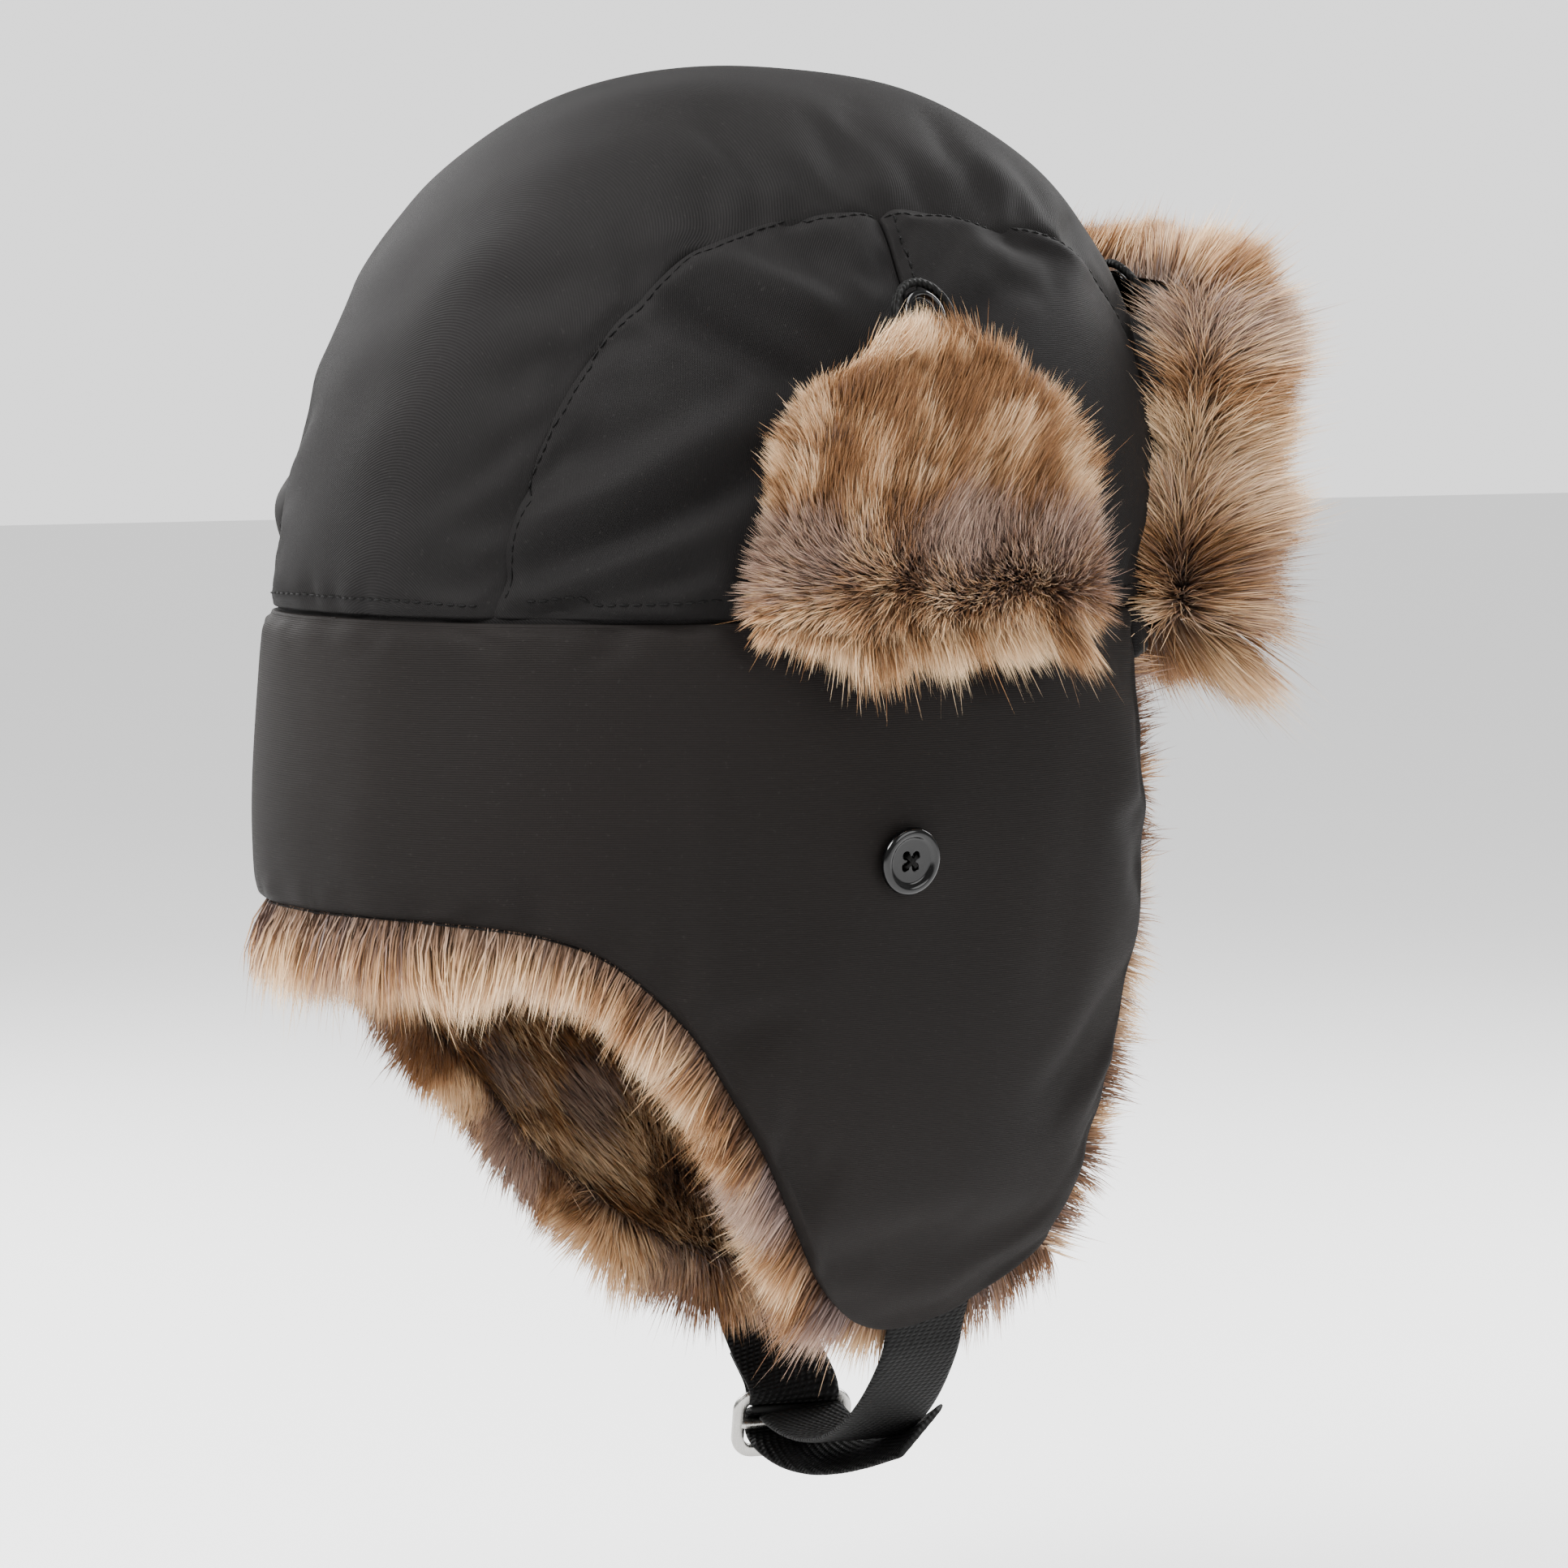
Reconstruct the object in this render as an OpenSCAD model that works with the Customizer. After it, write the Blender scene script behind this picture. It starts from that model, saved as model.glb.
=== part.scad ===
// Trapper hat: padded crown, neck and ear flaps lined with fur, a fold-up visor,
// two fold-up side flaps, and a chin strap with a slider buckle.
// Millimetres. The origin is the centre of the head opening, level with the seam
// between crown and neck panels. +Z is up, the hat faces -Y, the wearer's left is +X.

/* [Crown] */
// Half of the crown's width at the seam
half_w = 96; // [85:1:110]
// Half of the crown's length at the seam
half_l = 118; // [100:1:132]
// Height of the crown above the seam
crown_h = 140; // [115:1:160]
// How far the crown's top leans forward
crown_lean = 12; // [0:1:20]
// Squareness of the crown's curves: 2 is an ellipse
round_n = 2.35; // [2:0.05:3]
// Half width of the centre panel at the front and back
seam_low = 53; // [40:1:65]
// How much wider the centre panel is over the top
seam_rise = 18; // [0:1:25]

/* [Neck and ear flaps] */
// Depth at which the sides would close under the chin
low_h = 205; // [180:1:240]
// How fast the sides curl in towards the chin
curl_n = 2.2; // [1.8:0.1:3]
// How much longer the hat gets below the seam
flare = 8; // [0:1:15]
// Depth of the hem at the back of the neck
hem_back = 76; // [50:1:90]
// Angle of the front edge round the head, from the ear
front_edge = 45; // [35:1:55]

/* [Layers] */
// Thickness of the outer fabric
fabric_t = 1.6; // [1:0.1:2]
// Depth at which the wadding starts
wad_in = 3.2; // [2:0.1:4]
// Depth at which the wadding ends
wad_out = 6.2; // [5:0.1:8]
// Depth at which the lining or fur starts
fur_in = 7.2; // [6:0.1:9]
// Depth of the fur's solid part
fur_out = 17; // [12:1:22]

/* [Folding flaps] */
// Half width of the visor
visor_half = 62; // [50:1:75]
// Height of the visor above the seam
visor_h = 85; // [60:1:100]
// Half width of a side flap
side_half = 49; // [40:1:55]
// Height of a side flap above the seam
side_h = 64; // [50:1:75]

/* [Buttons and strap] */
// Radius of the ear buttons
ear_button_r = 8.75; // [7:0.25:11]
// Radius of the crown buttons
crown_button_r = 6.5; // [5:0.25:8]
// Width of the chin strap
strap_w = 25; // [15:1:30]
// Thickness of the chin strap
strap_t = 1.8; // [1:0.1:2.5]
// Radius of the buckle's wire
wire_r = 1.5; // [1:0.1:2.5]

/* [Hidden] */
$fn = 48;
seam_gap = 0.8;
panel_gap = 0.75;
fold_gap = 0.8;
// ear flap fold, as (y, z) points at its rear and front ends
fold_rear = [67, -97];
fold_front = [-94, -62];
// ear flap outlines from the fold to the tip, as (angle round the head, z)
rear_line = [[31, -97], [25.5, -108], [20.5, -122], [15, -137], [8.6, -156], [2.2, -173], [-4, -184]];
front_line = [[-45, -62], [-44.5, -86], [-43, -108], [-41, -128], [-39, -148], [-36, -165], [-29, -179]];
// hem behind the ear flap, as (angle, z)
hem_line = [[31, -97], [36.5, -88], [42, -82.5], [51, -78.5], [70, -hem_back], [90, -hem_back]];

// ---------- curves ----------

// smooth step from 0 to 1
function ease(v) = let (k = min(max(v, 0), 1)) k * k * (3 - 2 * k);

// point on the unit rounded ring at an angle: 0 is the ear, 90 the back, -90 the front
function ring(t) =
    let (k = pow(pow(abs(cos(t)), round_n) + pow(abs(sin(t)), round_n), -1 / round_n))
    [k * cos(t), k * sin(t)];

// how far the crown leans forward at height z
function lean(z) = crown_lean * (1 - pow(1 - min(max(z / crown_h, 0), 1), 2));

// radius of the crown's arch in the plane through the ears, beta from front to back
function arch(beta, o) =
    pow(pow(abs(cos(beta)) / (half_l + o), round_n)
        + pow(abs(sin(beta)) / (crown_h + o), round_n), -1 / round_n);

// crown point on arch beta, at share tau of its radius; o is the offset outwards
function crown_at(beta, tau, o) =
    let (r = tau * arch(beta, o), z = r * sin(beta))
    [(half_w + o) * pow(1 - pow(tau, round_n), 1 / round_n), -r * cos(beta) - lean(z), z];

// share of the radius at which the crown is x wide
function share(x, o) = pow(1 - pow(abs(x) / (half_w + o), round_n), 1 / round_n);

// crown point on arch beta at signed distance x from the middle
function crown_x(beta, x, o) =
    let (p = crown_at(beta, share(x, o), o)) [x, p[1], p[2]];

// half width of the centre panel on arch beta
function seam_x(beta) = seam_low + seam_rise * pow(sin(beta), 2);

// point of the outer surface below the seam, at angle t and height z
function low_skin(t, z) =
    let (c = ring(t), f = pow(1 - pow(max(-z, 0) / low_h, curl_n), 1 / curl_n))
    [half_w * f * c[0], (half_l + flare * ease(-z / 60)) * c[1], z];

// the same, moved out by o along the surface's normal
function low_at(t, z, o) =
    let (zc = min(max(z, -low_h + 2), -0.5),
         n = cross(low_skin(t + 1, zc) - low_skin(t - 1, zc),
                   low_skin(t, zc + 0.5) - low_skin(t, zc - 0.5)))
    low_skin(t, max(z, -low_h + 1.5)) + n / norm(n) * o;

// side of the crown or neck at y and z, on the wearer's left
function side_at(y, z, o) =
    let (yc = z > 0 ? y + lean(z) : y,
         up = z > 0 ? pow(z / (crown_h + o), round_n) : 0,
         f = z > 0 ? 1 : pow(1 - pow(-z / (low_h + o), curl_n), 1 / curl_n),
         across = pow(abs(yc) / (half_l + o), round_n))
    [(half_w + o) * f * pow(1 - across - up, 1 / round_n), y, z];

// value on a line of (a, b) points at share v of its length
function along(line, v) =
    let (last = len(line) - 1, k = min(floor(v * last), last - 1), f = v * last - k)
    line[k] * (1 - f) + line[k + 1] * f;

// z of the hem or of the ear fold below angle t
function hem_z(t) =
    t > hem_line[0][0]
    ? lookup(t, hem_line)
    : let (y = (half_l + flare) * ring(t)[1],
           f = (y - fold_rear[0]) / (fold_front[0] - fold_rear[0]))
      fold_rear[1] + f * (fold_front[1] - fold_rear[1]);

// ---------- solids ----------

// closed solid between an outer and an inner grid of points
module quilt(outer, inner, closed = false) {
    nr = len(outer);
    nc = len(outer[0]);
    wrap = closed ? nc : nc - 1;
    half = nr * nc;
    points = [for (g = [outer, inner], r = [0:nr - 1], c = [0:nc - 1]) g[r][c]];
    function at(s, r, c) = s * half + r * nc + c % nc;
    faces = concat(
        [for (r = [0:nr - 2], c = [0:wrap - 1])
            each [[at(0, r, c), at(0, r, c + 1), at(0, r + 1, c + 1)],
                  [at(0, r, c), at(0, r + 1, c + 1), at(0, r + 1, c)],
                  [at(1, r, c), at(1, r + 1, c + 1), at(1, r, c + 1)],
                  [at(1, r, c), at(1, r + 1, c), at(1, r + 1, c + 1)]]],
        [for (c = [0:wrap - 1])
            each [[at(0, 0, c), at(1, 0, c), at(1, 0, c + 1)],
                  [at(0, 0, c), at(1, 0, c + 1), at(0, 0, c + 1)],
                  [at(0, nr - 1, c), at(1, nr - 1, c + 1), at(1, nr - 1, c)],
                  [at(0, nr - 1, c), at(0, nr - 1, c + 1), at(1, nr - 1, c + 1)]]],
        closed ? [] : [for (r = [0:nr - 2])
            each [[at(0, r, 0), at(1, r + 1, 0), at(1, r, 0)],
                  [at(0, r, 0), at(0, r + 1, 0), at(1, r + 1, 0)],
                  [at(0, r, nc - 1), at(1, r, nc - 1), at(1, r + 1, nc - 1)],
                  [at(0, r, nc - 1), at(1, r + 1, nc - 1), at(0, r + 1, nc - 1)]]]);
    polyhedron(points, faces);
}

// flat band of width w and thickness t along points, with its width direction at each
module band(points, across, w, t) {
    last = len(points) - 1;
    normals = [for (i = [0:last])
        let (d = points[min(i + 1, last)] - points[max(i - 1, 0)], c = cross(d, across[i]))
        c / norm(c)];
    function rim(s) = [for (i = [0:last])
        let (a = across[i] / norm(across[i]))
        [for (side = [-1, 1]) points[i] + a * side * w / 2 + normals[i] * s * t / 2]];
    quilt(rim(-1), rim(1));
}

// mirrors a left-hand piece for the wearer's right
module on_side(side) {
    if (side > 0) children();
    else mirror([1, 0, 0]) children();
}

// stands children at p with their z axis along direction d
module stand(p, d) {
    translate(p)
        rotate([0, 0, atan2(d[1], d[0])])
            rotate([0, acos(d[2] / norm(d)), 0])
                children();
}

// ---------- crown ----------

module crown_centre_panel() {
    function grid(o) = [for (i = [0:36]) let (beta = i * 5, w = seam_x(beta) - panel_gap)
        [for (j = [0:12]) crown_x(beta, w * (j / 6 - 1), o)]];
    color("#2b2928") quilt(grid(0), grid(-fabric_t));
}

module crown_side(from, to) {
    function grid(o) = [for (i = [0:18])
        let (beta = from + (to - from) * i / 18, top = share(seam_x(beta) + panel_gap, 0))
        [for (j = [0:10]) crown_at(beta, 0.015 + (top - 0.015) * (1 - j / 10), o)]];
    color("#2d2b2a") quilt(grid(0), grid(-fabric_t));
}

module crown_side_front_left() {
    on_side(1) crown_side(0, 93.7);
}

module crown_side_front_right() {
    on_side(-1) crown_side(0, 93.7);
}

module crown_side_rear_left() {
    on_side(1) crown_side(94.3, 180);
}

module crown_side_rear_right() {
    on_side(-1) crown_side(94.3, 180);
}

// dome-shaped layer between two depths
module dome(depth_out, depth_in) {
    function grid(o) = [for (i = [0:24]) [for (j = [0:20])
        let (a = 179 - j * 8.9, p = crown_at(i * 7.5, ring(a)[1], o))
        [a > 90 ? -p[0] : p[0], p[1], p[2]]]];
    quilt(grid(-depth_out), grid(-depth_in));
}

module crown_wadding() {
    color("#d8d4c8") dome(wad_in, wad_out);
}

module crown_lining() {
    color("#1c1b1c") dome(fur_in, fur_in + 1.2);
}

module lining_binding() {
    function grid(o) = [for (z = [1, 6, 11]) [for (i = [0:71]) let (c = ring(i * 5))
        [(half_w - o - z * 0.03) * c[0], (half_l - o - z * 0.03) * c[1] - lean(z), z]]];
    color("#1a191a") quilt(grid(fur_in + 3.8), grid(fur_in + 4.6), closed = true);
}

// ---------- neck ----------

// layer of the neck between two depths; drop hangs it below the hem, over widens its front
module neck_layer(depth_out, depth_in, drop, over) {
    start = 89.7;
    function grid(o) = [for (i = [0:26])
        let (t = start - (start + front_edge + over) * i / 26,
             low = hem_z(max(t, -front_edge)) + fold_gap - drop * ease((t - 34) / 14))
        [for (v = [0:6]) low_at(t, -seam_gap + (low + seam_gap) * v / 6, o)]];
    quilt(grid(-depth_out), grid(-depth_in));
}

module neck_panel_left() {
    color("#2b2725") on_side(1) neck_layer(0, fabric_t, 0, 0);
}

module neck_panel_right() {
    color("#2b2725") on_side(-1) neck_layer(0, fabric_t, 0, 0);
}

module neck_wadding_left() {
    color("#d8d4c8") on_side(1) neck_layer(wad_in, wad_out, -3, -1);
}

module neck_wadding_right() {
    color("#d8d4c8") on_side(-1) neck_layer(wad_in, wad_out, -3, -1);
}

module neck_fur_left() {
    color("#b08a62") on_side(1) neck_layer(fur_in, fur_out, 12, 1);
}

module neck_fur_right() {
    color("#b08a62") on_side(-1) neck_layer(fur_in, fur_out, 12, 1);
}

// layer of the forehead between the two neck panels
module forehead_layer(depth_out, depth_in, height, edge) {
    function grid(o) = [for (i = [0:16]) let (t = -90 + (90 - edge) * (i / 8 - 1))
        [for (v = [0:2]) low_at(t, -seam_gap - height * v / 2, o)]];
    quilt(grid(-depth_in), grid(-depth_out));
}

module forehead_band() {
    color("#2b2725") forehead_layer(0, fabric_t, 14, front_edge + 0.5);
}

module forehead_fur() {
    color("#b08a62") forehead_layer(fur_in, fur_out, 17, front_edge + 2.5);
}

// ---------- visor ----------

// layer of the visor between two offsets outside the crown; over widens it past the fabric
module visor_layer(near, far, over, low) {
    reach = asin((visor_half + over) / (half_w + 22)) + 2;
    function grid(o) = [for (i = [0:16]) let (u = i / 8 - 1)
        [for (j = [0:6])
            let (v = j / 6, turn = u * reach * (1 - 0.1 * pow(v, 4)), c = ring(-90 + turn),
                 top = visor_h + over - 9 * pow(abs(u), 3),
                 z = low + (top - low) * v, off = o + 6 + 6 * ease(v))
            [(half_w + off) * c[0], -(half_l + off) * (1 - 0.8 * (1 + c[1])), z]]];
    quilt(grid(near), grid(far));
}

module visor_shell() {
    color("#2b2725") visor_layer(0, 1.4, 0, -3);
}

module visor_wadding() {
    color("#d8d4c8") visor_layer(2, 5, -2, -1);
}

module visor_fur() {
    color("#b08a62") visor_layer(5.8, 24, 5, -3);
}

// ---------- side flaps ----------

// layer of a side flap between two offsets outside the crown
module side_layer(near, far, over, low) {
    function grid(o) = [for (i = [0:12]) let (u = i / 6 - 1)
        [for (j = [0:8])
            let (v = j / 8, w = (side_half + over) * pow(1 - pow(v, 4) * 0.86, 0.25),
                 top = side_h + over - 5 * u * u, z = low + (top - low) * v)
            side_at(u * w, z, o)]];
    quilt(grid(far), grid(near));
}

module side_flap_shell_left() {
    color("#2b2725") on_side(1) side_layer(2.2, 3.6, 0, 1);
}

module side_flap_shell_right() {
    color("#2b2725") on_side(-1) side_layer(2.2, 3.6, 0, 1);
}

module side_flap_wadding_left() {
    color("#d8d4c8") on_side(1) side_layer(4.2, 7, -2, 3);
}

module side_flap_wadding_right() {
    color("#d8d4c8") on_side(-1) side_layer(4.2, 7, -2, 3);
}

module side_flap_fur_left() {
    color("#b08a62") on_side(1) side_layer(7.8, 24, 6, -2);
}

module side_flap_fur_right() {
    color("#b08a62") on_side(-1) side_layer(7.8, 24, 6, -2);
}

// ---------- buttons and loops ----------

side_button_at = side_at(-3, 74, 0);
visor_button_at = crown_x(39, 34, 0);
ear_button_at = low_at(2.6, -61, 0);
side_normal = [0.93, -0.05, 0.36];
visor_normal = [0.12, -0.86, 0.5];
ear_normal = [0.985, 0.03, -0.14];

// button head with a raised rim, a dished face and four holes, standing off the fabric
module button(r) {
    difference() {
        rotate_extrude()
            polygon([[0, 2.6], [r - 1.5, 2.6], [r, 3.6], [r, 5], [r - 0.7, 5.8], [r - 1.6, 5.8],
                     [r - 2.4, 5], [0, 4.8]]);
        for (a = [45:90:315])
            rotate([0, 0, a]) translate([r * 0.24, 0, 2]) cylinder(r = 0.9, h = 4);
    }
}

// thread: a shank under the button, four strands through its holes and a cross on its face
module thread(r) {
    span = r * 0.24;
    translate([0, 0, 0.3]) cylinder(r = span + 0.8, h = 2.1);
    for (a = [45:90:315])
        rotate([0, 0, a]) translate([span, 0, 2]) cylinder(r = 0.55, h = 3.5);
    for (a = [45, 135])
        rotate([0, 0, a]) translate([-span - 0.7, -0.7, 5]) cube([2 * span + 1.4, 1.4, 0.9]);
}

module visor_button_left() {
    color("#0c0c0c") on_side(1) stand(visor_button_at, visor_normal) button(crown_button_r);
}

module visor_button_right() {
    color("#0c0c0c") on_side(-1) stand(visor_button_at, visor_normal) button(crown_button_r);
}

module side_button_left() {
    color("#0c0c0c") on_side(1) stand(side_button_at, side_normal) button(crown_button_r);
}

module side_button_right() {
    color("#0c0c0c") on_side(-1) stand(side_button_at, side_normal) button(crown_button_r);
}

module ear_button_left() {
    color("#0c0c0c") on_side(1) stand(ear_button_at, ear_normal) button(ear_button_r);
}

module ear_button_right() {
    color("#0c0c0c") on_side(-1) stand(ear_button_at, ear_normal) button(ear_button_r);
}

module visor_thread_left() {
    color("#141414") on_side(1) stand(visor_button_at, visor_normal) thread(crown_button_r);
}

module visor_thread_right() {
    color("#141414") on_side(-1) stand(visor_button_at, visor_normal) thread(crown_button_r);
}

module side_thread_left() {
    color("#141414") on_side(1) stand(side_button_at, side_normal) thread(crown_button_r);
}

module side_thread_right() {
    color("#141414") on_side(-1) stand(side_button_at, side_normal) thread(crown_button_r);
}

module ear_thread_left() {
    color("#141414") on_side(1) stand(ear_button_at, ear_normal) thread(ear_button_r);
}

module ear_thread_right() {
    color("#141414") on_side(-1) stand(ear_button_at, ear_normal) thread(ear_button_r);
}

// flat elastic loop round a button, open at the end of its two legs of length leg
module loop(leg) {
    inner = crown_button_r + 1.6;
    outer = crown_button_r + 3.8;
    linear_extrude(1.8) difference() {
        union() {
            circle(r = outer);
            translate([-leg, -outer]) square([leg, 2 * outer]);
        }
        circle(r = inner);
        translate([-leg - outer, -inner]) square([leg + outer, 2 * inner]);
    }
}

module side_loop_left() {
    color("#111111") on_side(1) stand(side_button_at + side_normal * 3.6, side_normal)
        rotate([0, 0, 180]) loop(7);
}

module side_loop_right() {
    color("#111111") on_side(-1) stand(side_button_at + side_normal * 3.6, side_normal)
        rotate([0, 0, 180]) loop(7);
}

module visor_loop_left() {
    color("#111111") on_side(1) stand(visor_button_at + visor_normal * 4, visor_normal)
        rotate([0, 0, 180]) loop(9);
}

module visor_loop_right() {
    color("#111111") on_side(-1) stand(visor_button_at + visor_normal * 4, visor_normal)
        rotate([0, 0, 180]) loop(9);
}

// ---------- ear flaps ----------

// layer of an ear flap between two depths; over widens it past the fabric
module ear_layer(depth_out, depth_in, over) {
    function grid(o) = [for (j = [0:12])
        let (v = j / 12, back = along(rear_line, v), front = along(front_line, v),
             grow = over * ease(v / 0.2), sag = (8 + grow) * pow(v, 3))
        [for (i = [0:12])
            let (u = i / 12, t = back[0] + (front[0] - back[0]) * u + grow * 0.5 * (1 - 2 * u),
                 line = back[1] + (front[1] - back[1]) * u,
                 z = v < 0.001 ? hem_z(min(t, 31)) - fold_gap : line - fold_gap - sag * (1 - pow(2 * u - 1, 2)))
            low_at(t, z - grow * 0.6 * pow(v, 2), o)]];
    quilt(grid(-depth_out), grid(-depth_in));
}

module ear_flap_shell_left() {
    color("#2b2725") on_side(1) ear_layer(0, fabric_t, 0);
}

module ear_flap_shell_right() {
    color("#2b2725") on_side(-1) ear_layer(0, fabric_t, 0);
}

module ear_flap_wadding_left() {
    color("#d8d4c8") on_side(1) ear_layer(wad_in, wad_out, -4);
}

module ear_flap_wadding_right() {
    color("#d8d4c8") on_side(-1) ear_layer(wad_in, wad_out, -4);
}

module ear_flap_fur_left() {
    color("#b08a62") on_side(1) ear_layer(fur_in, fur_out, 7);
}

module ear_flap_fur_right() {
    color("#b08a62") on_side(-1) ear_layer(fur_in, fur_out, 7);
}

// ---------- chin strap ----------

buckle_at = [29, -48, -227];
bar_dir = [0.342, 0.94, 0];

module strap_short_left() {
    path = [[37, -43, -197.5], [34.5, -44.5, -203], [32, -45.8, -208.5], [29.5, -46.8, -213.5],
            [28, -47.2, -216.8]];
    color("#161616") band(path, [for (p = path) bar_dir], strap_w, strap_t);
}

// point at share k of the curve with end points a and d and handles b and c
function curve(a, b, c, d, k) =
    let (m = 1 - k) a * pow(m, 3) + b * 3 * m * m * k + c * 3 * m * k * k + d * pow(k, 3);

module strap_long_right() {
    steps = 16;
    path = [for (i = [0:steps])
        curve([-37, -43, -197.5], [-22, -44, -224], [0, -46, -234], [23.8, -46.8, -222.7], i / steps)];
    across = [for (i = [0:steps]) [0, 1, 0] * (steps - i) + bar_dir * i];
    color("#161616") band(path, across, strap_w, strap_t);
}

// the strap's end: round the buckle's middle bar and back out
module strap_tail() {
    path = [[25.2, -46.9, -222.5], [29.5, -48.3, -222.8], [32.2, -49.2, -225], [32.4, -49.3, -228.5],
            [30, -48.7, -231], [25, -47.6, -232.3], [16, -48.5, -234], [6, -50, -233.6],
            [-4, -51.5, -231], [-14, -53, -227], [-22, -54, -223]];
    across = [for (i = [0:10]) bar_dir + [-0.04, -0.01, -0.07] * max(i - 4, 0)];
    color("#161616") band(path, across, strap_w, strap_t);
}

module buckle_frame() {
    color("#a9a9a6") translate(buckle_at) rotate([0, 0, -20]) rotate([0, -15, 0]) union() {
        for (z = [-8, 0, 8])
            translate([0, -15, z]) rotate([-90, 0, 0]) cylinder(r = wire_r, h = 30);
        for (y = [-15, 15])
            translate([0, y, -8]) cylinder(r = wire_r, h = 16);
        for (y = [-15, 15], z = [-8, 8])
            translate([0, y, z]) sphere(r = wire_r);
    }
}

crown_centre_panel();
crown_side_front_left();
crown_side_front_right();
crown_side_rear_left();
crown_side_rear_right();
crown_wadding();
crown_lining();
lining_binding();
neck_panel_left();
neck_panel_right();
neck_wadding_left();
neck_wadding_right();
neck_fur_left();
neck_fur_right();
forehead_band();
forehead_fur();
visor_button_left();
visor_button_right();
side_button_left();
side_button_right();
ear_button_left();
ear_button_right();
visor_thread_left();
visor_thread_right();
side_thread_left();
side_thread_right();
ear_thread_left();
ear_thread_right();
visor_shell();
visor_wadding();
visor_fur();
visor_loop_left();
visor_loop_right();
side_flap_shell_left();
side_flap_shell_right();
side_flap_wadding_left();
side_flap_wadding_right();
side_flap_fur_left();
side_flap_fur_right();
side_loop_left();
side_loop_right();
ear_flap_shell_left();
ear_flap_shell_right();
ear_flap_wadding_left();
ear_flap_wadding_right();
ear_flap_fur_left();
ear_flap_fur_right();
strap_short_left();
strap_long_right();
strap_tail();
buckle_frame();
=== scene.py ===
"""Looks of the trapper hat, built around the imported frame.

Shapes are worked out in millimetres and turned into metres when a mesh is made.
The frame's axes: +Z up, the hat faces -Y, the wearer's left is +X.
"""
import math

import bpy
import numpy as np
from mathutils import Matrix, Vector
from mathutils.bvhtree import BVHTree
from mathutils.kdtree import KDTree


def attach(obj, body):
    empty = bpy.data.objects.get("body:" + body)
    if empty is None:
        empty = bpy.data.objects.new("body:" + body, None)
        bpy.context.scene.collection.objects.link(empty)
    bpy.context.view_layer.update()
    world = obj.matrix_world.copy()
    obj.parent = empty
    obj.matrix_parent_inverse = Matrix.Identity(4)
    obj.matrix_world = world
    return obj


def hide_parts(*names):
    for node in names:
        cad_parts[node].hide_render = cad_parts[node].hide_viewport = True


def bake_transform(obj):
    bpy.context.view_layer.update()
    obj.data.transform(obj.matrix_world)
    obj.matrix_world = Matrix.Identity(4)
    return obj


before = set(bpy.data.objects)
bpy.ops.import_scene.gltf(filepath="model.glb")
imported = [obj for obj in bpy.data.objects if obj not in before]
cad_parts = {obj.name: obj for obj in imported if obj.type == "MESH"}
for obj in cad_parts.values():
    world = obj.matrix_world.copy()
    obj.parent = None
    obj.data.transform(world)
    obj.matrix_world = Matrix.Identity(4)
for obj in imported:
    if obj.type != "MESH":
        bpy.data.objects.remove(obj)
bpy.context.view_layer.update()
MM = 0.001

# ---------- camera ----------

AZIMUTH, ELEVATION, DISTANCE = math.radians(235.0), math.radians(2.5), 1.7
BACK = Vector((math.sin(AZIMUTH) * math.cos(ELEVATION),
               -math.cos(AZIMUTH) * math.cos(ELEVATION), math.sin(ELEVATION)))
RIGHT = Vector((math.cos(AZIMUTH), math.sin(AZIMUTH), 0))
UP = RIGHT.cross(-BACK)
AIM = RIGHT * 0.0201 - UP * 0.0480
camera = bpy.data.objects.new("camera", bpy.data.cameras.new("camera"))
bpy.context.scene.collection.objects.link(camera)
camera.location = BACK * DISTANCE
camera.rotation_euler = (AIM - camera.location).to_track_quat("-Z", "Y").to_euler()
camera.data.lens = 148.0
camera.data.sensor_width = 36.0
camera.data.clip_end = 50
bpy.context.scene.camera = camera

# ---------- the hat's surfaces, as in the CAD ----------

HALF_W, HALF_L, CROWN_H, LEAN, ROUND = 96.0, 118.0, 140.0, 12.0, 2.35
SEAM_LOW, SEAM_RISE = 53.0, 18.0
LOW_H, CURL, FLARE = 205.0, 2.2, 8.0


def arr(*values):
    return np.broadcast_arrays(*[np.asarray(v, float) for v in values])


def ease(v):
    k = np.clip(v, 0, 1)
    return k * k * (3 - 2 * k)


def unit(v):
    return v / np.maximum(np.linalg.norm(v, axis=-1, keepdims=True), 1e-9)


def ring(t):
    c, s = np.cos(np.radians(t)), np.sin(np.radians(t))
    k = (np.abs(c) ** ROUND + np.abs(s) ** ROUND) ** (-1 / ROUND)
    return k * c, k * s


def lean(z):
    return LEAN * (1 - (1 - np.clip(z / CROWN_H, 0, 1)) ** 2)


def arch(beta, o):
    c, s = np.abs(np.cos(np.radians(beta))), np.abs(np.sin(np.radians(beta)))
    return ((c / (HALF_L + o)) ** ROUND + (s / (CROWN_H + o)) ** ROUND) ** (-1 / ROUND)


def crown_at(beta, tau, o):
    beta, tau, o = arr(beta, tau, o)
    r = tau * arch(beta, o)
    z = r * np.sin(np.radians(beta))
    x = (HALF_W + o) * (1 - np.clip(tau, 0, 1) ** ROUND) ** (1 / ROUND)
    return np.stack([x, -r * np.cos(np.radians(beta)) - lean(z), z], -1)


def share(x, o):
    return (1 - np.clip(np.abs(x) / (HALF_W + o), 0, 1) ** ROUND) ** (1 / ROUND)


def crown_x(beta, x, o):
    beta, x, o = arr(beta, x, o)
    p = crown_at(beta, share(x, o), o)
    p[..., 0] = x
    return p


def seam_x(beta):
    return SEAM_LOW + SEAM_RISE * np.sin(np.radians(beta)) ** 2


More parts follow.
